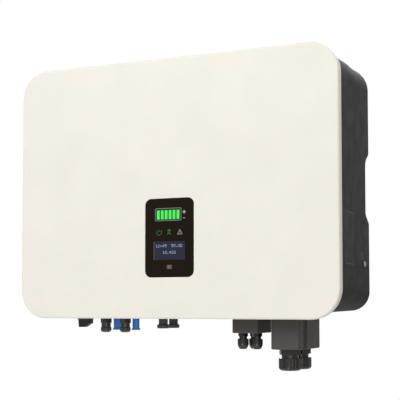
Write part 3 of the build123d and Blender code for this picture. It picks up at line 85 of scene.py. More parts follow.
class Finish:
    """A procedural material: one Principled shader, fed by patterns in the piece's own space."""

    def __init__(self, name, colour, rough, rounding=0.35, **constants):
        self.material = bpy.data.materials.new(name)
        self.material.use_nodes = True
        self.tree = self.material.node_tree
        self.shader = self.tree.nodes["Principled BSDF"]
        for socket, value in constants.items():
            self.shader.inputs[socket.replace("_", " ")].default_value = value
        self.place = self.add("ShaderNodeTexCoord").outputs["Object"]
        self.rounded = self.add("ShaderNodeBevel", {"Radius": rounding * MM}, samples=4).outputs["Normal"]
        self.normal = self.rounded
        self.colour = colour
        self.rough = rough

    def add(self, kind, inputs=None, **settings):
        node = self.tree.nodes.new(kind)
        for name, value in settings.items():
            setattr(node, name, value)
        for socket, value in (inputs or {}).items():
            if isinstance(value, bpy.types.NodeSocket):
                self.tree.links.new(value, node.inputs[socket])
            else:
                node.inputs[socket].default_value = value
        return node

    def where(self, stretch=(1, 1, 1)):
        if tuple(stretch) == (1, 1, 1):
            return self.place
        scaled = self.add("ShaderNodeVectorMath", {0: self.place, 1: stretch}, operation="MULTIPLY")
        return scaled.outputs["Vector"]

    def noise(self, size, detail=2.0, stretch=(1, 1, 1), rough=0.55):
        """Soft noise whose features are about size millimetres across."""
        node = self.add("ShaderNodeTexNoise", {"Vector": self.where(stretch), "Scale": 1 / (size * MM),
                                               "Detail": detail, "Roughness": rough})
        return node.outputs["Fac"]

    def cells(self, size, feature="F1", stretch=(1, 1, 1), output="Distance"):
        node = self.add("ShaderNodeTexVoronoi", {"Vector": self.where(stretch), "Scale": 1 / (size * MM)},
                        feature=feature)
        return node.outputs[output]

    def span(self, value, low, high, out_low=0.0, out_high=1.0):
        node = self.add("ShaderNodeMapRange", {"Value": value, "From Min": low, "From Max": high,
                                               "To Min": out_low, "To Max": out_high})
        return node.outputs["Result"]

    def sum(self, a, b, operation="MULTIPLY"):
        return self.add("ShaderNodeMath", {0: a, 1: b}, operation=operation).outputs["Value"]

    def layer(self, share, colour):
        """Mixes a colour over what is there, by a 0-1 share."""
        node = self.add("ShaderNodeMix", {0: share, 6: self.colour, 7: colour}, data_type="RGBA")
        self.colour = node.outputs[2]
        return self

    def mottle(self, size, amount, low=None, stretch=(1, 1, 1)):
        """Slow light and dark drift of the colour."""
        base = low or tuple(v * (1 - amount) for v in self.colour[:3]) + (1.0,)
        return self.layer(self.span(self.noise(size, 3.0, stretch), 0.32, 0.68), base)

    def grime(self, size, amount):
        """Darkens whatever is there in soft patches."""
        return self.layer(self.span(self.noise(size, 4.0), 0.45, 0.75, 0.0, amount), (0.02, 0.02, 0.02, 1.0))

    def relief(self, height, depth, strength=1.0):
        """Adds bump, depth in millimetres."""
        node = self.add("ShaderNodeBump", {"Height": height, "Distance": depth * MM, "Strength": strength,
                                           "Normal": self.normal})
        self.normal = node.outputs["Normal"]
        return self

    def edges(self, reach, low=0.985, high=0.85):
        """A 0-1 share that is high within reach millimetres of a sharp edge."""
        wide = self.add("ShaderNodeBevel", {"Radius": reach * MM}, samples=4).outputs["Normal"]
        flat = self.add("ShaderNodeNewGeometry").outputs["Normal"]
        turn = self.add("ShaderNodeVectorMath", {0: wide, 1: flat}, operation="DOT_PRODUCT").outputs["Value"]
        return self.span(turn, low, high)

    def wear_and_edge_highlight(self, colour, reach=0.5, amount=0.5, patch=6.0):
        """Lighter edges, broken up by noise: rubbed wear, and on the moulded parts also a painted highlight.
        """
        broken = self.span(self.noise(patch, 4.0), 0.42, 0.62, 0.15, 1.0)
        share = self.sum(self.sum(self.edges(reach), broken), amount)
        return self.layer(share, colour)

    def dust(self, colour, amount):
        """A thin film on faces that look up."""
        up = self.add("ShaderNodeSeparateXYZ", {0: self.add("ShaderNodeNewGeometry").outputs["Normal"]})
        share = self.sum(self.span(up.outputs["Z"], 0.3, 1.0),
                         self.span(self.noise(14, 5.0), 0.35, 0.7, 0.3, 1.0))
        return self.layer(self.sum(share, amount), colour)

    def sheen_spread(self, size, spread, stretch=(1, 1, 1)):
        """Roughness that drifts from place to place."""
        self.rough = self.span(self.noise(size, 4.0, stretch), 0.3, 0.7,
                               self.rough - spread, self.rough + spread)
        return self

    def done(self):
        for socket, value in (("Base Color", self.colour), ("Roughness", self.rough),
                              ("Normal", self.normal)):
            if isinstance(value, bpy.types.NodeSocket):
                self.tree.links.new(value, self.shader.inputs[socket])
            else:
                self.shader.inputs[socket].default_value = value
        return self.material


def lighter(colour, by):
    return tuple(min(1.0, v * by) for v in colour[:3]) + (1.0,)


def powder_coat(name, colour, rough, grain=1.3, depth=0.03, edge=1.5, spread=0.06, drift=0.06, gloss=0.42):
    """Baked paint with orange peel over cast or pressed metal."""
    paint = Finish(name, colour, rough, rounding=0.5, Specular_IOR_Level=gloss)
    paint.mottle(70, drift).wear_and_edge_highlight(lighter(colour, edge), 0.6, 0.4).dust(srgb(150, 146, 138), 0.05)
    paint.sheen_spread(22, spread)
    paint.relief(paint.noise(grain, 3.0), depth).relief(paint.noise(grain * 7, 1.0), depth * 1.6)
    return paint.done()


def moulded(name, colour, rough, grain=0.5, depth=0.012, edge=1.6, spread=0.07, coat=0.0):
    """Injection-moulded plastic with a spark-eroded grain, and lighter edges that are partly wear and partly
    a painted highlight.
    """
    plastic = Finish(name, colour, rough, rounding=0.25, Coat_Weight=coat, Coat_Roughness=0.12)
    # Lighter edges: partly rubbed wear, partly a painted highlight along the edges.
    plastic.mottle(18, 0.10).wear_and_edge_highlight(lighter(colour, edge), 0.35, 0.5, 3.0)
    plastic.sheen_spread(9, spread)
    plastic.relief(plastic.cells(grain, "SMOOTH_F1"), depth).relief(plastic.noise(4, 2.0), depth)
    return plastic.done()


def rubber(name, colour):
    part = Finish(name, colour, 0.72, rounding=0.3, Sheen_Weight=0.15)
    part.mottle(8, 0.2).dust(srgb(120, 116, 110), 0.12).sheen_spread(5, 0.08)
    return part.relief(part.noise(0.6, 4.0), 0.03).done()


def drawn_metal(name, colour, rough, stretch, edge=1.25, size=1.2):
    """Bare metal with fine lines along its drawing direction."""
    metal = Finish(name, colour, rough, rounding=0.2, Metallic=1.0)
    metal.mottle(size, 0.16, stretch=stretch).grime(30, 0.1)
    metal.wear_and_edge_highlight(lighter(colour, edge), 0.3, 0.6, 4.0)
    metal.sheen_spread(size * 1.4, 0.1, stretch)
    return metal.relief(metal.noise(size * 0.5, 3.0, stretch), 0.012).done()


def galvanised(name, colour):
    """Hot-dip zinc: angular spangles with their own tint and gloss."""
    zinc = Finish(name, colour, 0.42, rounding=0.3, Metallic=1.0)
    grainy = zinc.cells(9, output="Color")
    tone = zinc.add("ShaderNodeRGBToBW", {0: grainy}).outputs["Val"]
    zinc.layer(zinc.span(tone, 0.2, 0.8), lighter(colour, 0.72)).grime(40, 0.12)
    zinc.wear_and_edge_highlight(lighter(colour, 1.3), 0.4, 0.5)
    zinc.rough = zinc.span(tone, 0.1, 0.9, 0.34, 0.52)
    return zinc.relief(zinc.cells(9), 0.02).relief(zinc.noise(1.5, 3.0), 0.01).done()


def black_lens(name):
    """Back-printed polycarbonate: deep gloss with faint wipe marks."""
    lens = Finish(name, srgb(20, 13, 6), 0.12, rounding=0.2, Specular_IOR_Level=0.32,
                  Specular_Tint=(1.0, 0.80, 0.64, 1.0))
    lens.mottle(30, 0.15).sheen_spread(24, 0.035, (1, 1, 0.25))
    return lens.relief(lens.noise(45, 1.0), 0.02).done()


def lit_print(name, colour, strength, rough=0.25):
    """Translucent ink with a lamp behind it."""
    ink = Finish(name, colour, rough, rounding=0.05, Emission_Color=colour, Emission_Strength=strength)
    ink.mottle(2.5, 0.25).sheen_spread(4, 0.05)
    return ink.relief(ink.noise(0.5, 2.0), 0.004).done()


def flat_print(name, colour, rough=0.45):
    """Screen-printed ink with a slightly uneven film."""
    ink = Finish(name, colour, rough, rounding=0.03)
    ink.mottle(1.5, 0.12).sheen_spread(3, 0.08)
    return ink.relief(ink.noise(0.3, 3.0), 0.006).done()


def panel_glass(name, colour, glow):
    """OLED glass: a dim blue field with its pixel grid."""
    glass = Finish(name, colour, 0.16, rounding=0.05, Emission_Color=colour, Emission_Strength=glow)
    grid = glass.add("ShaderNodeTexChecker", {"Vector": glass.place, "Scale": 1 / (0.42 * MM)}).outputs["Fac"]
    glass.layer(glass.sum(grid, 0.25), lighter(colour, 0.6)).sheen_spread(20, 0.04)
    return glass.relief(glass.noise(30, 1.0), 0.01).done()


def circuit_board(name, colour):
    """Solder mask over copper: tracks, pads and small parts' shadows."""
    board = Finish(name, colour, 0.32, rounding=0.2, Coat_Weight=0.3, Coat_Roughness=0.2)
    # Darker patches of soft noise: painted shadows of the small parts.
    board.mottle(25, 0.2)
    tracks = board.cells(7, "DISTANCE_TO_EDGE", (1, 1, 0.35))
    board.layer(board.span(tracks, 0.03, 0.05, 0.55, 0.0), lighter(colour, 1.9))
    pads = board.cells(4.2)
    board.layer(board.span(pads, 0.13, 0.16, 0.9, 0.0), srgb(196, 176, 120))
    return board.relief(board.span(tracks, 0.03, 0.06, 1.0, 0.0), 0.03).relief(board.noise(0.8), 0.01).done()


def winding(name, colour, copper):
    """Potted coil: turns of enamelled wire showing at the skin."""
    coil = Finish(name, colour, 0.5, rounding=0.4)
    wave = coil.add("ShaderNodeTexWave", {"Vector": coil.place, "Scale": 1 / (12 * MM), "Distortion": 0.4,
                                          "Detail": 1.0}, bands_direction="Z").outputs["Fac"]
    coil.layer(coil.span(wave, 0.5, 0.9, 0.0, 0.6), copper).sheen_spread(8, 0.1)
    return coil.relief(wave, 0.3).relief(coil.noise(1.2), 0.03).done()


def ribbon_with_painted_groove_shade(name, colour):
    """Flat cable: grooved between its conductors, with painted shade darkening the grooves."""
    cable = Finish(name, colour, 0.5, rounding=0.2)
    wave = cable.add("ShaderNodeTexWave", {"Vector": cable.place, "Scale": 1 / (8 * MM)},
                     bands_direction="X").outputs["Fac"]
    # Painted shade: a darker colour in the grooves, where the relief sinks.
    cable.layer(cable.span(wave, 0.0, 0.35, 0.5, 0.0), lighter(colour, 0.4)).sheen_spread(9, 0.06)
    return cable.relief(wave, 0.15).relief(cable.noise(0.5), 0.01).done()


COVER_WHITE = srgb(236, 232, 221)
HOUSING_GREY = srgb(49, 46, 48)
BOX_GREY = srgb(80, 76, 70)
BLACK = srgb(33, 32, 31)
BLUE = srgb(64, 148, 248)
STEEL = srgb(196, 194, 190)
GREEN = srgb(70, 214, 84)

LOOKS = {
    "cover_white": powder_coat("cover_white", COVER_WHITE, 0.42, 1.1, 0.018, edge=1.04, drift=0.035),
    "housing_grey": powder_coat("housing_grey", HOUSING_GREY, 0.56, 0.9, 0.045, drift=0.05, gloss=0.10),
    "box_grey": powder_coat("box_grey", BOX_GREY, 0.48, 0.8, 0.035, drift=0.10, gloss=0.26),
    "gasket_rubber": rubber("gasket_rubber", srgb(30, 30, 31)),
    "screw_steel": drawn_metal("screw_steel", STEEL, 0.30, (1, 1, 1), size=0.8),
    "bracket_steel": galvanised("bracket_steel", srgb(188, 190, 190)),
    "sink_aluminium": drawn_metal("sink_aluminium", srgb(186, 187, 188), 0.38, (1, 1, 0.04)),
    "plate_aluminium": powder_coat("plate_aluminium", srgb(47, 45, 46), 0.52, 0.6, 0.012, drift=0.05,
                                   gloss=0.12),
    "lens_black": black_lens("lens_black"),
    "frame_black": moulded("frame_black", BLACK, 0.55),
    "oled_glass": panel_glass("oled_glass", srgb(30, 30, 44), 0.1),
    "light_green": lit_print("light_green", GREEN, 0.42),
    "key_grey": moulded("key_grey", srgb(80, 73, 70), 0.45),
    "board_green": circuit_board("board_green", srgb(22, 84, 52)),
    "part_black": moulded("part_black", srgb(36, 36, 38), 0.5),
    "knob_black": moulded("knob_black", srgb(42, 40, 36), 0.44),
    "connector_black": moulded("connector_black", srgb(58, 56, 54), 0.32, coat=0.6),
    "connector_blue": moulded("connector_blue", BLUE, 0.30, coat=0.5),
    "port_grey": moulded("port_grey", srgb(76, 72, 67), 0.38, coat=0.2),
    "gland_black": moulded("gland_black", srgb(27, 23, 17), 0.24, coat=0.45),
    "nut_brass": drawn_metal("nut_brass", srgb(201, 168, 104), 0.3, (1, 1, 1)),
    "module_white": moulded("module_white", srgb(216, 212, 200), 0.5),
    "pad_grey": rubber("pad_grey", srgb(140, 140, 142)),
    "capacitor_blue": moulded("capacitor_blue", srgb(30, 60, 140), 0.35, coat=0.3),
    "relay_white": moulded("relay_white", srgb(222, 220, 212), 0.45),
    "inductor_black": winding("inductor_black", srgb(40, 38, 36), srgb(168, 96, 52)),
    "terminal_green": moulded("terminal_green", srgb(52, 140, 84), 0.45),
    "ribbon_grey": ribbon_with_painted_groove_shade("ribbon_grey", srgb(160, 162, 165)),
}
EXTRA = {
    "gauge_field": lit_print("gauge_field", srgb(4, 44, 14), 0.2),
    "gauge_line": flat_print("gauge_line", srgb(118, 146, 114)),
    "mark_white": flat_print("mark_white", srgb(222, 222, 224)),
    "mark_grey": flat_print("mark_grey", srgb(128, 126, 126)),
    "symbol_green": lit_print("symbol_green", srgb(66, 138, 60), 0.26),
    "symbol_grey": flat_print("symbol_grey", srgb(180, 180, 178)),
    "panel_blue": panel_glass("panel_blue", srgb(31, 32, 50), 0.17),
    # Light grey for the side's earth symbol, and for the painted highlight round the rating plate.
    "mark_side": flat_print("mark_side", srgb(104, 102, 100)),
    "pixel_blue": lit_print("pixel_blue", srgb(160, 190, 222), 0.7),
}

slot_of = {}
for material in frame["record"]["materials"]:
    slot_of[material["slot"]] = LOOKS[material["slot"]]
for node, obj in frame["nodes"].items():
    for held in obj.material_slots:
        held.material = slot_of[held.material.name.split(".")[0]]


# ---------------------------------------------------------------- drawn pieces
def cast(node, start, direction):
    """Where a ray meets a CAD node: the point and the outward normal."""
    tree = BVHTree.FromObject(frame["nodes"][node], bpy.context.evaluated_depsgraph_get())
    point, normal, _, _ = tree.ray_cast(start, direction.normalized())
    return point, normal


class Marks:
    """Thin printed or moulded shapes on one flat face, drawn in its own u, v millimetres."""

    def __init__(self, node, start, direction, across, thick=0.05, sunk=0.02):
        point, normal = cast(node, start, direction)
        u = (across - normal * across.dot(normal)).normalized()
        v = normal.cross(u)
        self.frame = Matrix((u, v, normal)).transposed()
        self.point = point
        self.thick = thick
        self.sunk = sunk
        self.mesh = bmesh.new()

    def at(self, u, v, w):
        return self.point + self.frame @ (Vector((u, v, w)) * MM)

    def prism(self, outline, high=None):
        """A closed prism over an outline that turns anticlockwise."""
        high = self.thick if high is None else high
        rear = [self.mesh.verts.new(self.at(u, v, -self.sunk)) for u, v in outline]
        front = [self.mesh.verts.new(self.at(u, v, high)) for u, v in outline]
        self.mesh.faces.new(front)
        self.mesh.faces.new(rear[::-1])
        for i, low in enumerate(rear):
            j = (i + 1) % len(rear)
            self.mesh.faces.new((low, rear[j], front[j], front[i]))

    def bar(self, u, v, wide, tall, high=None):
        a, b = wide / 2, tall / 2
        self.prism([(u - a, v - b), (u + a, v - b), (u + a, v + b), (u - a, v + b)], high)

    def panel(self, u, v, wide, tall, corner, high=None):
        self.prism(rounded(u, v, wide, tall, corner), high)

    def stroke(self, points, wide, closed=False, high=None):
        """A line of constant width with mitred corners, made of one quad prism per run."""
        count = len(points)
        sides = []
        for i, point in enumerate(points):
            here = Vector(point)
            before = Vector(points[i - 1]) if closed or i else None
            after = Vector(points[(i + 1) % count]) if closed or i < count - 1 else None
            normals = [Vector((-(q - p).y, (q - p).x)).normalized()
                       for p, q in ((before, here), (here, after)) if p is not None and q is not None]
            lean = sum(normals, Vector((0, 0))).normalized()
            reach = wide / 2 / max(0.35, lean.dot(normals[0]))
            sides.append((here - lean * reach, here + lean * reach))
        high = self.thick if high is None else high
        rings = []
        for right, left in sides:
            corners = [(right, -self.sunk), (left, -self.sunk), (left, high), (right, high)]
            rings.append([self.mesh.verts.new(self.at(p.x, p.y, w)) for p, w in corners])
        for i in range(count if closed else count - 1):
            a, b = rings[i], rings[(i + 1) % count]
            for k in range(4):
                m = (k + 1) % 4
                self.mesh.faces.new((a[k], b[k], b[m], a[m]))
        if not closed:
            self.mesh.faces.new(rings[0])
            self.mesh.faces.new(rings[-1][::-1])

    def digits(self, text, u, v, dot, high=None):
        """Dot-matrix figures, 5 by 7, each dot a small tile; u, v is the middle of the line."""
        left = u - (6 * len(text) - 1) * dot / 2
        for place, figure in enumerate(text):
            for row, pattern in enumerate(DOTS[figure]):
                for column, lit in enumerate(pattern):
                    if lit == "#":
                        self.bar(left + (6 * place + column + 0.5) * dot, v + (3 - row) * dot,
                                 dot * 0.7, dot * 0.7, high)

    def piece(self, name, finish, slot, body="unit"):
        bmesh.ops.recalc_face_normals(self.mesh, faces=self.mesh.faces)
        return add_piece(name, self.mesh, finish, body)


def add_piece(name, mesh, finish, body, smooth=False):
    data = bpy.data.meshes.new(name)
    mesh.to_mesh(data)
    mesh.free()
    obj = bpy.data.objects.new(name, data)
    bpy.context.scene.collection.objects.link(obj)
    data.materials.append(finish)
    for face in data.polygons:
        face.use_smooth = smooth
    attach(obj, body)
    return obj


def arc(u, v, radius, start, end, steps):
    """Points on an arc, from start to end degrees, anticlockwise from the u axis."""
    angles = [math.radians(start + (end - start) * i / steps) for i in range(steps + 1)]
    return [(u + radius * math.cos(a), v + radius * math.sin(a)) for a in angles]


def cross(size, wide):
    """Outline of a plus sign about the origin, anticlockwise."""
    a, b = size / 2, wide / 2
    return [(a, -b), (a, b), (b, b), (b, a), (-b, a), (-b, b), (-a, b), (-a, -b), (-b, -b), (-b, -a),
            (b, -a), (b, -b)]


def rounded(u, v, wide, tall, corner, steps=6):
    """Outline of a rounded rectangle, anticlockwise."""
    a, b = wide / 2 - corner, tall / 2 - corner
    corners = ((a, b, 0), (-a, b, 90), (-a, -b, 180), (a, -b, 270))
    return [point for x, y, start in corners for point in arc(u + x, v + y, corner, start, start + 90, steps)]


DOTS = {
    " ": ("     ",) * 7,
    ".": ("     ",) * 5 + (" ##  ", " ##  "),
    ":": ("     ", " ##  ", " ##  ", "     ", " ##  ", " ##  ", "     "),
    "0": (" ### ", "#   #", "#   #", "#   #", "#   #", "#   #", " ### "),
    "1": ("  #  ", " ##  ", "  #  ", "  #  ", "  #  ", "  #  ", " ### "),
    "2": (" ### ", "#   #", "    #", "  ## ", " #   ", "#    ", "#####"),
    "4": ("   # ", "  ## ", " # # ", "#  # ", "#####", "   # ", "   # "),
    "5": ("#####", "#    ", "#### ", "    #", "    #", "#   #", " ### "),
}

FORWARD = Vector((0, 1, 0))
UPWARD = Vector((0, 0, 1))
RIGHT = Vector((1, 0, 0))

# ---------------------------------------------------------------- display
lens_x, _, lens_h = middle("display_lens")
bars_x, _, bars_h = middle("battery_bars")
bars_low, bars_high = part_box("battery_bars")
gauge_wide = (bars_high.x - bars_low.x) / MM
gauge_tall = (bars_high.z - bars_low.z) / MM
BAR_COUNT = 6
BAR_WIDE = 4.8
GAUGE_LINE = 0.75
GAUGE_MARGIN = 2.9
GAUGE_ABOVE = 3.0
GAUGE_BELOW = 2.1
SYMBOL_LINE = 0.55
POWER_LINE = 0.5
READOUT = dict(x=0.3, h=105.2, wide=53.0, tall=28.4)
READOUT_DOT = 0.64
TERMINAL_X = 25.3
PLUS_H = 164.2
MINUS_H = 155.0
SYMBOL_H = 133.8
POWER_X = -17.5
POWER_H = 133.6
POWER_RING_R = 4.1
PYLON_X = -0.4
FAULT_X = 18.1


def lens_marks(thick=0.05, **more):
    """Marks on the lens, with u, v measured as x and h on the cover."""
    marks = Marks("display_lens", spot(lens_x + 35, -20, lens_h), FORWARD, RIGHT, thick, **more)
    hit_x, _, hit_h = [v / MM for v in (marks.point - Vector((0, FACE_Y, FOOT_Z)))]
    marks.point = marks.at(-hit_x, -hit_h, 0)
    return marks


def make_display():
    frame_h = bars_h + (GAUGE_ABOVE - GAUGE_BELOW) / 2
    frame_wide = gauge_wide + 2 * GAUGE_MARGIN
    frame_tall = gauge_tall + GAUGE_ABOVE + GAUGE_BELOW
    field = lens_marks(0.03)
    field.panel(bars_x, frame_h, frame_wide, frame_tall, 1.6)
    field.piece("gauge_field", EXTRA["gauge_field"], "light_green")

    line = lens_marks(0.06)
    line.stroke(rounded(bars_x, frame_h, frame_wide, frame_tall, 1.6), GAUGE_LINE, closed=True)
    line.piece("gauge_outline", EXTRA["gauge_line"], "lens_black")

    bars = lens_marks(0.09)
    pitch = (gauge_wide - BAR_WIDE) / (BAR_COUNT - 1)
    for i in range(BAR_COUNT):
        bars.panel(bars_x + pitch * (i - (BAR_COUNT - 1) / 2), bars_h, BAR_WIDE, gauge_tall, 0.4)
    bars.piece("gauge_bars_lit", LOOKS["light_green"], "light_green")

    plus = lens_marks(0.06)
    plus.prism([(TERMINAL_X + u, PLUS_H + v) for u, v in cross(5.4, 0.8)])
    plus.piece("gauge_plus", EXTRA["mark_white"], "lens_black")
    minus = lens_marks(0.06)
    minus.bar(TERMINAL_X, MINUS_H, 4.2, 1.2)
    minus.piece("gauge_minus", EXTRA["mark_grey"], "lens_black")

    power = lens_marks(0.06)
    power.stroke(arc(POWER_X, POWER_H, POWER_RING_R, 128, 412, 26), POWER_LINE)
    power.bar(POWER_X, POWER_H + 2.6, POWER_LINE, 3.6)
    power.piece("power_symbol", EXTRA["symbol_green"], "light_green")

    grid = lens_marks(0.06)
    for side in (-1, 1):
        grid.stroke([(PYLON_X + side * u, SYMBOL_H + v) for u, v in ((0.35, 5.0), (1.0, 0.0), (2.8, -4.0))],
                    POWER_LINE)
        grid.stroke([(PYLON_X + side * u, SYMBOL_H + v) for u, v in ((0.4, 3.4), (3.2, 2.0))], POWER_LINE)
    grid.stroke([(PYLON_X + u, SYMBOL_H - 1.9) for u in (-1.7, 1.7)], POWER_LINE)
    grid.piece("grid_symbol", EXTRA["symbol_green"], "light_green")

    fault = lens_marks(0.06)
    fault.stroke([(FAULT_X + u, SYMBOL_H + v) for u, v in ((-3.9, -3.5), (3.9, -3.5), (0, 3.7))],
                 SYMBOL_LINE, closed=True)
    fault.bar(FAULT_X, SYMBOL_H - 0.1, SYMBOL_LINE, 2.3)
    fault.bar(FAULT_X, SYMBOL_H - 2.1, SYMBOL_LINE, 0.7)
    fault.piece("fault_symbol", EXTRA["symbol_grey"], "lens_black")

    window = lens_marks(0.03)
    window.panel(READOUT["x"], READOUT["h"], READOUT["wide"], READOUT["tall"], 0.5)
    window.piece("readout_window", EXTRA["panel_blue"], "oled_glass")
    edge = lens_marks(0.05)
    edge.bar(READOUT["x"] - READOUT["wide"] / 2 - 0.3, READOUT["h"], 0.4, READOUT["tall"])
    edge.piece("readout_edge", EXTRA["mark_grey"], "oled_glass")
    text = lens_marks(0.06)
    text.digits("12:45  50.00", READOUT["x"] - 1.0, 112.6, READOUT_DOT)
    text.digits("10.420", READOUT["x"] - 0.5, 102.4, READOUT_DOT)
    text.piece("readout_figures", EXTRA["pixel_blue"], "light_green")


def make_key_mark():
    key_x, _, key_h = middle("menu_key")
    marks = Marks("menu_key", spot(key_x, -20, key_h), FORWARD, RIGHT, 0.04)
    for step in (-1, 0, 1):
        marks.bar(0, step * 1.5, 4.4, 0.5)
    marks.piece("menu_key_mark", EXTRA["mark_grey"], "key_grey", "menu_button")


# ---------------------------------------------------------------- marks and seals around the connections
DEEPER = Vector((0, 1, 0))
LEFTWARD = Vector((-1, 0, 0))
LINE = 0.6
COLLAR_R = 10.4
PORT_R = 8.9
LARGE_RING = (15.9, 0.8)
SMALL_RING = (7.5, 0.5)
PAD_LEVEL = 9.2
SIDE_START = 400
BELOW = -120


def make_side_marks():
    """The earth symbol ahead of the ground screw, and a light line round the rating plate: a painted
    highlight of the plate's lit edge.
    """
    _, screw_d, screw_h = middle("ground_screw")
    earth = Marks("main_housing", spot(SIDE_START, screw_d - 11.5, screw_h + 12), LEFTWARD, DEEPER)
    earth.bar(0, 3.1, LINE, 3.4)
    for row, wide in enumerate((5.2, 3.4, 1.6)):
        earth.bar(0, 1.2 - 1.5 * row, wide, LINE)
    earth.stroke(arc(0, 0.9, 5.2, 0, 360, 32)[:-1], LINE, closed=True)
    earth.piece("earth_symbol", EXTRA["mark_side"], "housing_grey")

    plate_low, plate_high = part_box("rating_plate")
    _, plate_d, plate_h = middle("rating_plate")
    wide = (plate_high.y - plate_low.y) / MM - 3
    tall = (plate_high.z - plate_low.z) / MM - 3
    # Painted highlight: a thin light line round the plate stands in for the light caught on its edge.
    plate_edge_light_line = Marks("rating_plate", spot(SIDE_START, plate_d, plate_h), LEFTWARD, DEEPER, 0.04)
    plate_edge_light_line.stroke(rounded(0, 0, wide, tall, 2), 0.35, closed=True)
    plate_edge_light_line.piece("rating_plate_border", EXTRA["mark_side"], "plate_aluminium")


def make_switch_legend():
    """0 and 1 at the two ends of the quarter turn, and a white pointer on the knob."""
    x, d, _ = middle("dc_switch_knob")
    legend = Marks("dc_switch_plate", spot(x - 18, d, BELOW), UPWARD, RIGHT)
    legend.stroke(rounded(0.6, 0, 2.2, 3.4, 1.05), LINE, closed=True)
    legend.bar(18, 18.2, LINE, 3.4)
    legend.stroke(arc(18, 0, 15.4, 100, 170, 14), 0.45)
    legend.piece("switch_legend", EXTRA["mark_white"], "part_black")
    pointer = Marks("dc_switch_knob", spot(x - 5, d, BELOW), UPWARD, RIGHT)
    pointer.bar(-1.4, 0, 4.2, 0.9)
    pointer.piece("switch_pointer", EXTRA["mark_white"], "knob_black", "dc_switch")


def make_socket_marks():
    """A plus ahead of each black cap and a minus beside each blue one, on the housing's underside."""
    low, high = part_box("pv_plus_sockets")
    plus_x, plus_d, _ = middle("pv_plus_sockets")
    _, minus_d, _ = middle("pv_minus_sockets")
    pair = (high.x - low.x) / MM / 2 - COLLAR_R
    signs = Marks("main_housing", spot(plus_x, (plus_d + minus_d) / 2, BELOW), UPWARD, RIGHT)
    for side in (-1, 1):
        for v, upright_too in ((4.2, True), (-4.2, False)):
            if upright_too:
                signs.prism([(side * pair + a, v + b) for a, b in cross(4.0, 0.8)])
            else:
                signs.bar(side * pair, v, 4.0, 0.8)
    signs.piece("socket_signs", EXTRA["mark_white"], "housing_grey")


def ring(mesh, centre, radius, tube, around=48, across=10):
    """A level torus."""
    loops = []
    for i in range(around):
        a = 2 * math.pi * i / around
        out = Vector((math.cos(a), math.sin(a), 0))
        loop = []
        for j in range(across):
            b = 2 * math.pi * j / across
            loop.append(mesh.verts.new(centre + out * (radius + tube * math.cos(b)) * MM
                                       + Vector((0, 0, tube * math.sin(b) * MM))))
        loops.append(loop)
    for i, loop in enumerate(loops):
        after = loops[(i + 1) % around]
        for j in range(across):
            k = (j + 1) % across
            mesh.faces.new((loop[j], after[j], after[k], loop[k]))


def make_seals():
    """Rubber rings squeezed out around the collars, where they meet the housing and the boxes."""
    collars = bmesh.new()
    for node in ("pv_plus_sockets", "pv_minus_sockets"):
        low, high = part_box(node)
        pair = (high.x - low.x) / 2 - COLLAR_R * MM
        x, d, _ = middle(node)
        for side in (-1, 1):
            ring(collars, spot(x, d, PAD_LEVEL) + Vector((side * pair, 0, 0)), 10.0, 0.75)
    low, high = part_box("comm_ports")
    x, _, _ = middle("comm_ports")
    for y in (low.y + PORT_R * MM, high.y - PORT_R * MM):
        centre = spot(x, 0, PAD_LEVEL)
        centre.y = y
        ring(collars, centre, PORT_R, 0.6)
    add_piece("connector_seals", collars, LOOKS["gasket_rubber"], "unit", smooth=True)
    necks = bmesh.new()
    for mount in frame["record"]["mounts"]:
        if mount["kind"] != "bore":
            continue
        large = mount["name"].startswith("ac")
        centre = Vector(mount["pos_m"])
        centre.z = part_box("ac_box" if large else "comm_box")[0].z
        ring(necks, centre, *(LARGE_RING if large else SMALL_RING))
    add_piece("gland_rings", necks, LOOKS["gasket_rubber"], "unit", smooth=True)


make_display()
make_key_mark()
make_side_marks()
make_switch_legend()
make_socket_marks()
make_seals()

# ---------------------------------------------------------------- studio
WHITE = (1.0, 1.0, 1.0)
FLOOR_DROP = 1.2


def area_light(name, place, aim, size, power):
    lamp = bpy.data.lights.new(name, "AREA")
    lamp.shape = "RECTANGLE"
    lamp.size = size
    lamp.size_y = size
    lamp.energy = power
    lamp.color = WHITE
    obj = bpy.data.objects.new(name, lamp)
    obj.location = place
    obj.rotation_euler = (aim - place).to_track_quat("-Z", "Y").to_euler()
    bpy.context.scene.collection.objects.link(obj)


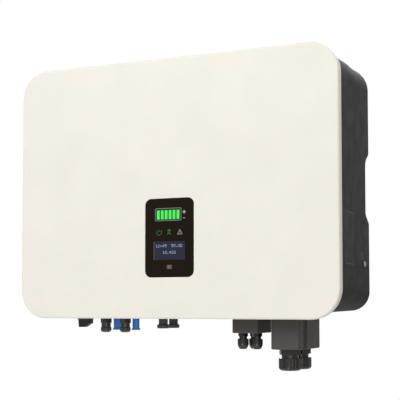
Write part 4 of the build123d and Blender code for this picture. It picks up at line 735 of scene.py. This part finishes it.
def make_studio():
    low, high = cad_box
    centre = (low + high) / 2
    scene = bpy.context.scene
    scene.view_settings.view_transform = "Standard"
    world = bpy.data.worlds.new("studio")
    world.use_nodes = True
    sky = world.node_tree.nodes["Background"]
    sky.inputs["Color"].default_value = (1.0, 1.0, 1.0, 1.0)
    sky.inputs["Strength"].default_value = 0.38
    bright = world.node_tree.nodes.new("ShaderNodeBackground")
    bright.inputs["Color"].default_value = (1.0, 1.0, 1.0, 1.0)
    bright.inputs["Strength"].default_value = 1.0
    path = world.node_tree.nodes.new("ShaderNodeLightPath")
    both = world.node_tree.nodes.new("ShaderNodeMixShader")
    out = world.node_tree.nodes["World Output"]
    links = world.node_tree.links
    links.new(path.outputs["Is Camera Ray"], both.inputs["Fac"])
    links.new(sky.outputs["Background"], both.inputs[1])
    links.new(bright.outputs["Background"], both.inputs[2])
    links.new(both.outputs["Shader"], out.inputs["Surface"])
    scene.world = world

    area_light("key", centre + Vector((-1.2, -2.9, 1.8)), centre, 1.8, 58)
    area_light("fill", centre + Vector((1.6, -2.6, 0.4)), centre, 2.0, 10)
    area_light("top", centre + Vector((0.9, -0.1, 2.2)), centre, 1.2, 22)
    area_light("rear", centre + Vector((-0.4, 2.8, 1.0)), centre, 2.0, 38)
    area_light("under", centre + Vector((0.3, -2.2, -1.2)), centre, 1.6, 14)


def make_floor():
    """A wide pale disc that fades into the backdrop's white at its rim."""
    low, high = cad_box
    ground = bmesh.new()
    bmesh.ops.create_circle(ground, cap_ends=True, segments=96, radius=14.0)
    bmesh.ops.translate(ground, verts=ground.verts, vec=(0, 0, low.z - FLOOR_DROP))
    data = bpy.data.meshes.new("floor")
    ground.to_mesh(data)
    ground.free()
    obj = bpy.data.objects.new("floor", data)
    bpy.context.scene.collection.objects.link(obj)
    look = Finish("floor_pale", (0.86, 0.86, 0.855, 1.0), 0.65)
    look.mottle(400, 0.02).relief(look.noise(3.0), 0.05)
    data.materials.append(look.done())
    tree = look.tree
    glow = tree.nodes.new("ShaderNodeEmission")
    glow.inputs["Strength"].default_value = 1.0
    mixed = tree.nodes.new("ShaderNodeMixShader")
    reach = look.add("ShaderNodeVectorMath", {0: look.place}, operation="LENGTH").outputs["Value"]
    seen = look.add("ShaderNodeLightPath").outputs["Is Camera Ray"]
    tree.links.new(look.sum(look.span(reach, 0.5, 1.6), seen), mixed.inputs["Fac"])
    tree.links.new(look.shader.outputs["BSDF"], mixed.inputs[1])
    tree.links.new(glow.outputs["Emission"], mixed.inputs[2])
    tree.links.new(mixed.outputs["Shader"], tree.nodes["Material Output"].inputs["Surface"])


def make_camera():
    lens = bpy.data.cameras.new("camera")
    lens.sensor_width = 36.0
    lens.lens = 92.49
    lens.shift_y = 0.12
    obj = bpy.data.objects.new("camera", lens)
    obj.location = spot(705.1, -1417.7, 20.2)
    obj.rotation_euler = (math.radians(90 + 3.216), 0, math.radians(24.725))
    bpy.context.scene.collection.objects.link(obj)
    bpy.context.scene.camera = obj


make_studio()
make_floor()
make_camera()
